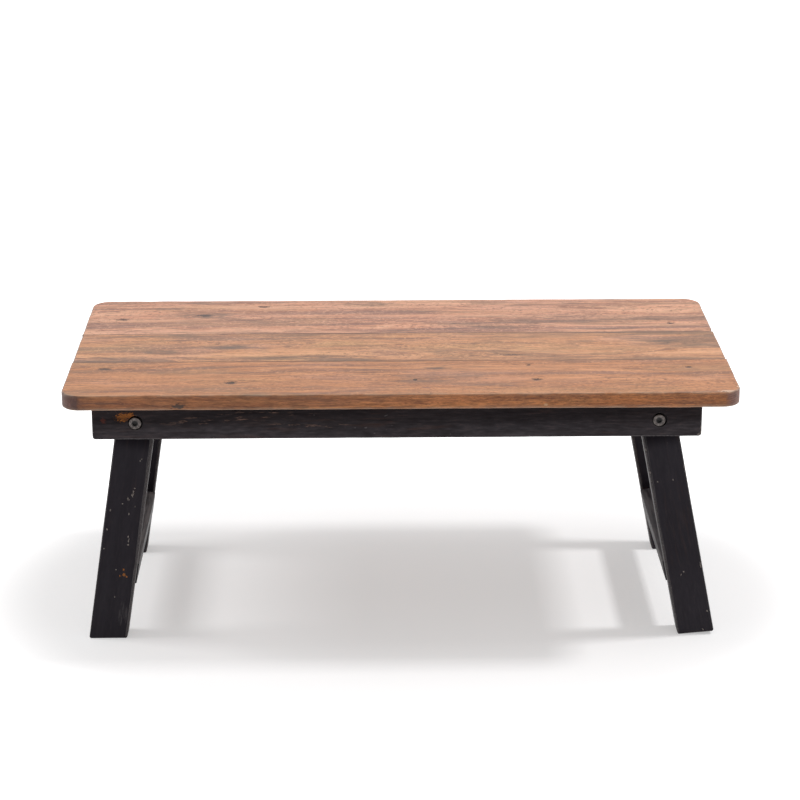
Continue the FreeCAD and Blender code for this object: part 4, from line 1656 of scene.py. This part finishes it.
    def leg(self, end: End, paint: BlackPaint) -> None:
        """Build one leg, its good face outwards."""
        node = f"{self.side.word}_{end.word}_leg"
        low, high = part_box(node)
        inside = high.y if end is End.FRONT else low.y
        out = end.value * Y_AXIS
        placing = axes(Vector((self.hinge.x, inside, self.hinge.z)), self.down, out.cross(self.down))
        thickness = high.y - low.y
        bore = Bore(Vector((0.0, 0.0, thickness)), -Z_AXIS, ((self.bolt_bore, thickness + BEYOND),))
        outer = -self.side.value * end.value
        low_side, high_side = (self.arris, self.inner_arris)[::-outer]
        plank = Plank(f"{node}_timber", self.leg_outline(outer), thickness, placing,
                      (low_side, self.arris, high_side, self.arris), self.pitch,
                      self.leg_waves.hollow(paint.shift), [bore], unevenness=self.unevenness,
                      taper=self.taper)
        place_plank(plank, self.body, node, paint.on_face(thickness).make())

    def stretcher(self, paint: BlackPaint) -> None:
        """Build the bar between the two legs."""
        node = f"{self.side.word}_stretcher"
        low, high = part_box(node)
        height, thickness = self.stretcher_size
        up = -self.down
        out = Y_AXIS.cross(up)
        inset = self.width / 2 + self.stretcher_proud - thickness / 2
        start = -self.side.value * inset - thickness / 2
        placing = axes(self.hinge + self.down * self.screw_drop + out * start, Y_AXIS, up)
        outline = box_outline((low.y, high.y), (-height / 2, height / 2))
        plank = Plank(f"{node}_timber", outline, thickness, placing, bar_arrises(self.stretcher_arris),
                      self.pitch, self.stretcher_waves.hollow(paint.shift))
        place_plank(plank, self.body, node, paint.make())

    def build(self) -> None:
        """Build the two legs and the stretcher."""
        word = self.side.word
        front = BlackPaint(f"{word}_front_leg_paint", self.shift, marks=self.marks,
                           side_wear=self.side_wear, shine=self.shine, shades=self.shades)
        back = BlackPaint(f"{word}_back_leg_paint", self.shift + self.BACK_SHIFT, shine=self.shine,
                          shades=self.shades)
        bar = BlackPaint(f"{word}_stretcher_paint", self.shift + self.STRETCHER_SHIFT, thin=0.7,
                         side_wear=self.side_wear)
        self.leg(End.FRONT, front)
        self.leg(End.BACK, back)
        self.stretcher(bar)


@dataclass
class Hardware:
    """The bolts, nuts, washers, spacers and screws, as the frame shapes them.

    Attributes:
        nuts: The plating of the nuts, washers and spacers.
        screws: The plating of the screws.
        painted: The paint over the filled screw heads.
    """

    nuts: Steel = Steel("nut_plating", bright=(0.58, 0.57, 0.52), dull=(0.38, 0.37, 0.34),
                        grime=(0.05, 0.04, 0.03), dirt=0.5)
    screws: Steel = Steel("screw_plating", bright=(0.55, 0.47, 0.30), dull=(0.36, 0.30, 0.20),
                          grime=(0.05, 0.035, 0.02), dirt=0.6)
    painted: BlackPaint = BlackPaint("painted_screw_heads", 7.7, Layout.FRAME, thin=1.0, chips=0.8,
                                     soft_black=(0.045, 0.018, 0.012))

    def build(self) -> None:
        """Give each fastener of the frame its finish."""
        groups = {
            "spacer": self.nuts, "washer": self.nuts, "lock_nut": self.nuts,
            "rail_screws": self.screws, "apron_screws": self.screws,
            "corner_screws": self.painted, "stretcher_screws": self.painted,
        }
        for side in Side:
            hinge = pivot(side)
            for end in End:
                bolt = f"{side.word}_{end.word}"
                groups[f"{bolt}_pivot_bolt"] = BoltSteel(f"{bolt}_bolt_steel", (hinge.x, hinge.z))
        for ending, finish in groups.items():
            material = finish.make()
            for name, node in frame["nodes"].items():
                if name.endswith(ending):
                    node.data.materials.clear()
                    node.data.materials.append(material)
                    LOG.info("%s: %s", name, material.name)


@dataclass(frozen=True)
class Lamp:
    """A square soft box.

    Attributes:
        name: The lamp's name.
        place: Where it hangs.
        size: The length of its sides.
        power: Its power in watts.
    """

    name: str
    place: tuple[float, float, float]
    size: float
    power: float

    def hang(self, aim: Vector) -> None:
        """Hang it so that it faces a point."""
        data = bpy.data.lights.new(self.name, "AREA")
        data.shape = "SQUARE"
        data.size = self.size
        data.energy = self.power
        made = bpy.data.objects.new(self.name, data)
        made.location = self.place
        made.rotation_mode = "QUATERNION"
        made.rotation_quaternion = (aim - made.location).to_track_quat("-Z", "Y")
        bpy.context.scene.collection.objects.link(made)


@dataclass
class Studio:
    """A pale floor that fades into white, soft lamps overhead, and the camera.

    Attributes:
        focal_pixels: The camera's focal length in pixels of the picture.
        picture: The picture's width in pixels.
        pitch: How far the camera looks down, in degrees.
        yaw: How far it looks round to +X, in degrees.
        roll: How far it is turned about its own axis, in degrees.
        place: Where it stands.
        floor_size: The length of the floor's sides.
        floor_steps: How many faces the floor has along each side.
        floor_colour: The floor's colour.
        floor_glow: How white the floor looks under the table and away from it.
        fade: Where the floor starts and ends to whiten, in sizes of the oval round the table.
        fade_size: The oval's size along X and Y.
        horizon: How bright the light is that comes in level.
        zenith: How bright it is from overhead.
        lamps: The soft boxes.
        lit: The point that they face.
    """

    focal_pixels: float = 2423.0
    picture: float = 800.0
    pitch: float = 18.33
    yaw: float = 0.82
    roll: float = -0.08
    place: Vector = field(default_factory=lambda: Vector((-0.0303, -2.1689, 0.9099)))
    floor_size: float = 14.0
    floor_steps: int = 4
    floor_colour: Colour = (0.75, 0.745, 0.75)
    floor_glow: Span = (0.42, 0.95)
    fade: Span = (0.85, 1.25)
    fade_size: Span = (0.39, 0.32)
    horizon: float = 0.064
    zenith: float = 0.60
    lamps: tuple[Lamp, ...] = (Lamp("left_lamp", (-1.6, 0.05, 1.75), 0.7, 14.0),
                               Lamp("right_lamp", (1.32, 0.05, 1.85), 0.25, 18.0))
    lit: Vector = field(default_factory=lambda: Vector((0.0, 0.0, 0.15)))

    def camera(self) -> None:
        """Set up the camera."""
        pitch, yaw, roll = (math.radians(angle) for angle in (self.pitch, self.yaw, self.roll))
        level = Vector((math.cos(yaw), -math.sin(yaw), 0.0))
        ahead = Vector((math.sin(yaw) * math.cos(pitch), math.cos(yaw) * math.cos(pitch),
                        -math.sin(pitch)))
        upright = level.cross(ahead)
        right = math.cos(roll) * level + math.sin(roll) * upright
        up = -math.sin(roll) * level + math.cos(roll) * upright
        data = bpy.data.cameras.new("camera")
        data.lens = self.focal_pixels / self.picture * data.sensor_width
        made = bpy.data.objects.new("camera", data)
        turn = Matrix((right, up, -ahead)).transposed().to_4x4()
        turn.translation = self.place
        made.matrix_world = turn
        bpy.context.scene.collection.objects.link(made)
        bpy.context.scene.camera = made

    @staticmethod
    def seen(bench: Bench) -> Socket:
        """Return 1 for what the camera, a reflection or a clear piece sees, and 0 for lighting."""
        path = bench.add("ShaderNodeLightPath").outputs
        total: Feed = 0.0
        for name in ("Is Camera Ray", "Is Glossy Ray", "Is Transmission Ray"):
            total = bench.most(total, path[name])
        return total

    def floor(self) -> None:
        """Lay a floor that keeps the table's shadow and is white away from it."""
        mesh = bmesh.new()
        bmesh.ops.create_grid(mesh, x_segments=self.floor_steps, y_segments=self.floor_steps,
                              size=self.floor_size / 2)
        ground = new_object("floor", mesh)
        bench = Bench(bpy.data.materials.new("pale_floor"))
        matt = bench.node("ShaderNodeBsdfDiffuse", "BSDF", {"Color": self.floor_colour})
        scale = (1 / self.fade_size[0], 1 / self.fade_size[1], 0.0)
        oval = bench.stretch(bench.places(Layout.FRAME), scale, (0, 0, 0))
        away = bench.vector("LENGTH", oval, output="Value")
        fade = bench.ease(away, *self.fade, *self.floor_glow)
        strength = bench.times(self.seen(bench), fade)
        glow = bench.node("ShaderNodeEmission", "Emission", {"Strength": strength})
        both = bench.node("ShaderNodeAddShader", "Shader", {0: matt, 1: glow})
        ground.data.materials.append(bench.close(both))

    def world(self) -> None:
        """Surround the table with light that is strongest overhead and is seen as white."""
        bench = Bench(bpy.data.worlds.new("studio"))
        height = bench.part(bench.node("ShaderNodeTexCoord", "Generated", {}), "Z")
        rise = bench.ease(height, 0.0, 1.0, self.horizon, self.zenith, "LINEAR")
        inputs = {"Color": WHITE, "Strength": bench.ease(self.seen(bench), 0.0, 1.0, rise, 1.0, "LINEAR")}
        light = bench.node("ShaderNodeBackground", "Background", inputs)
        bpy.context.scene.world = bench.close(light)

    def build(self) -> None:
        """Set up the floor, the light and the camera."""
        self.floor()
        self.world()
        for lamp in self.lamps:
            lamp.hang(self.lit)
        self.camera()
        bpy.context.scene.view_settings.view_transform = "Standard"


def main() -> None:
    """Build the table's pieces in order, then the studio."""
    logging.basicConfig(level=logging.INFO, format="%(message)s")
    for part in (Top(), UnderFrame(), LegFrame.left(), LegFrame.right(), Hardware(), Studio()):
        part.build()


if __name__ == "__main__":
    main()
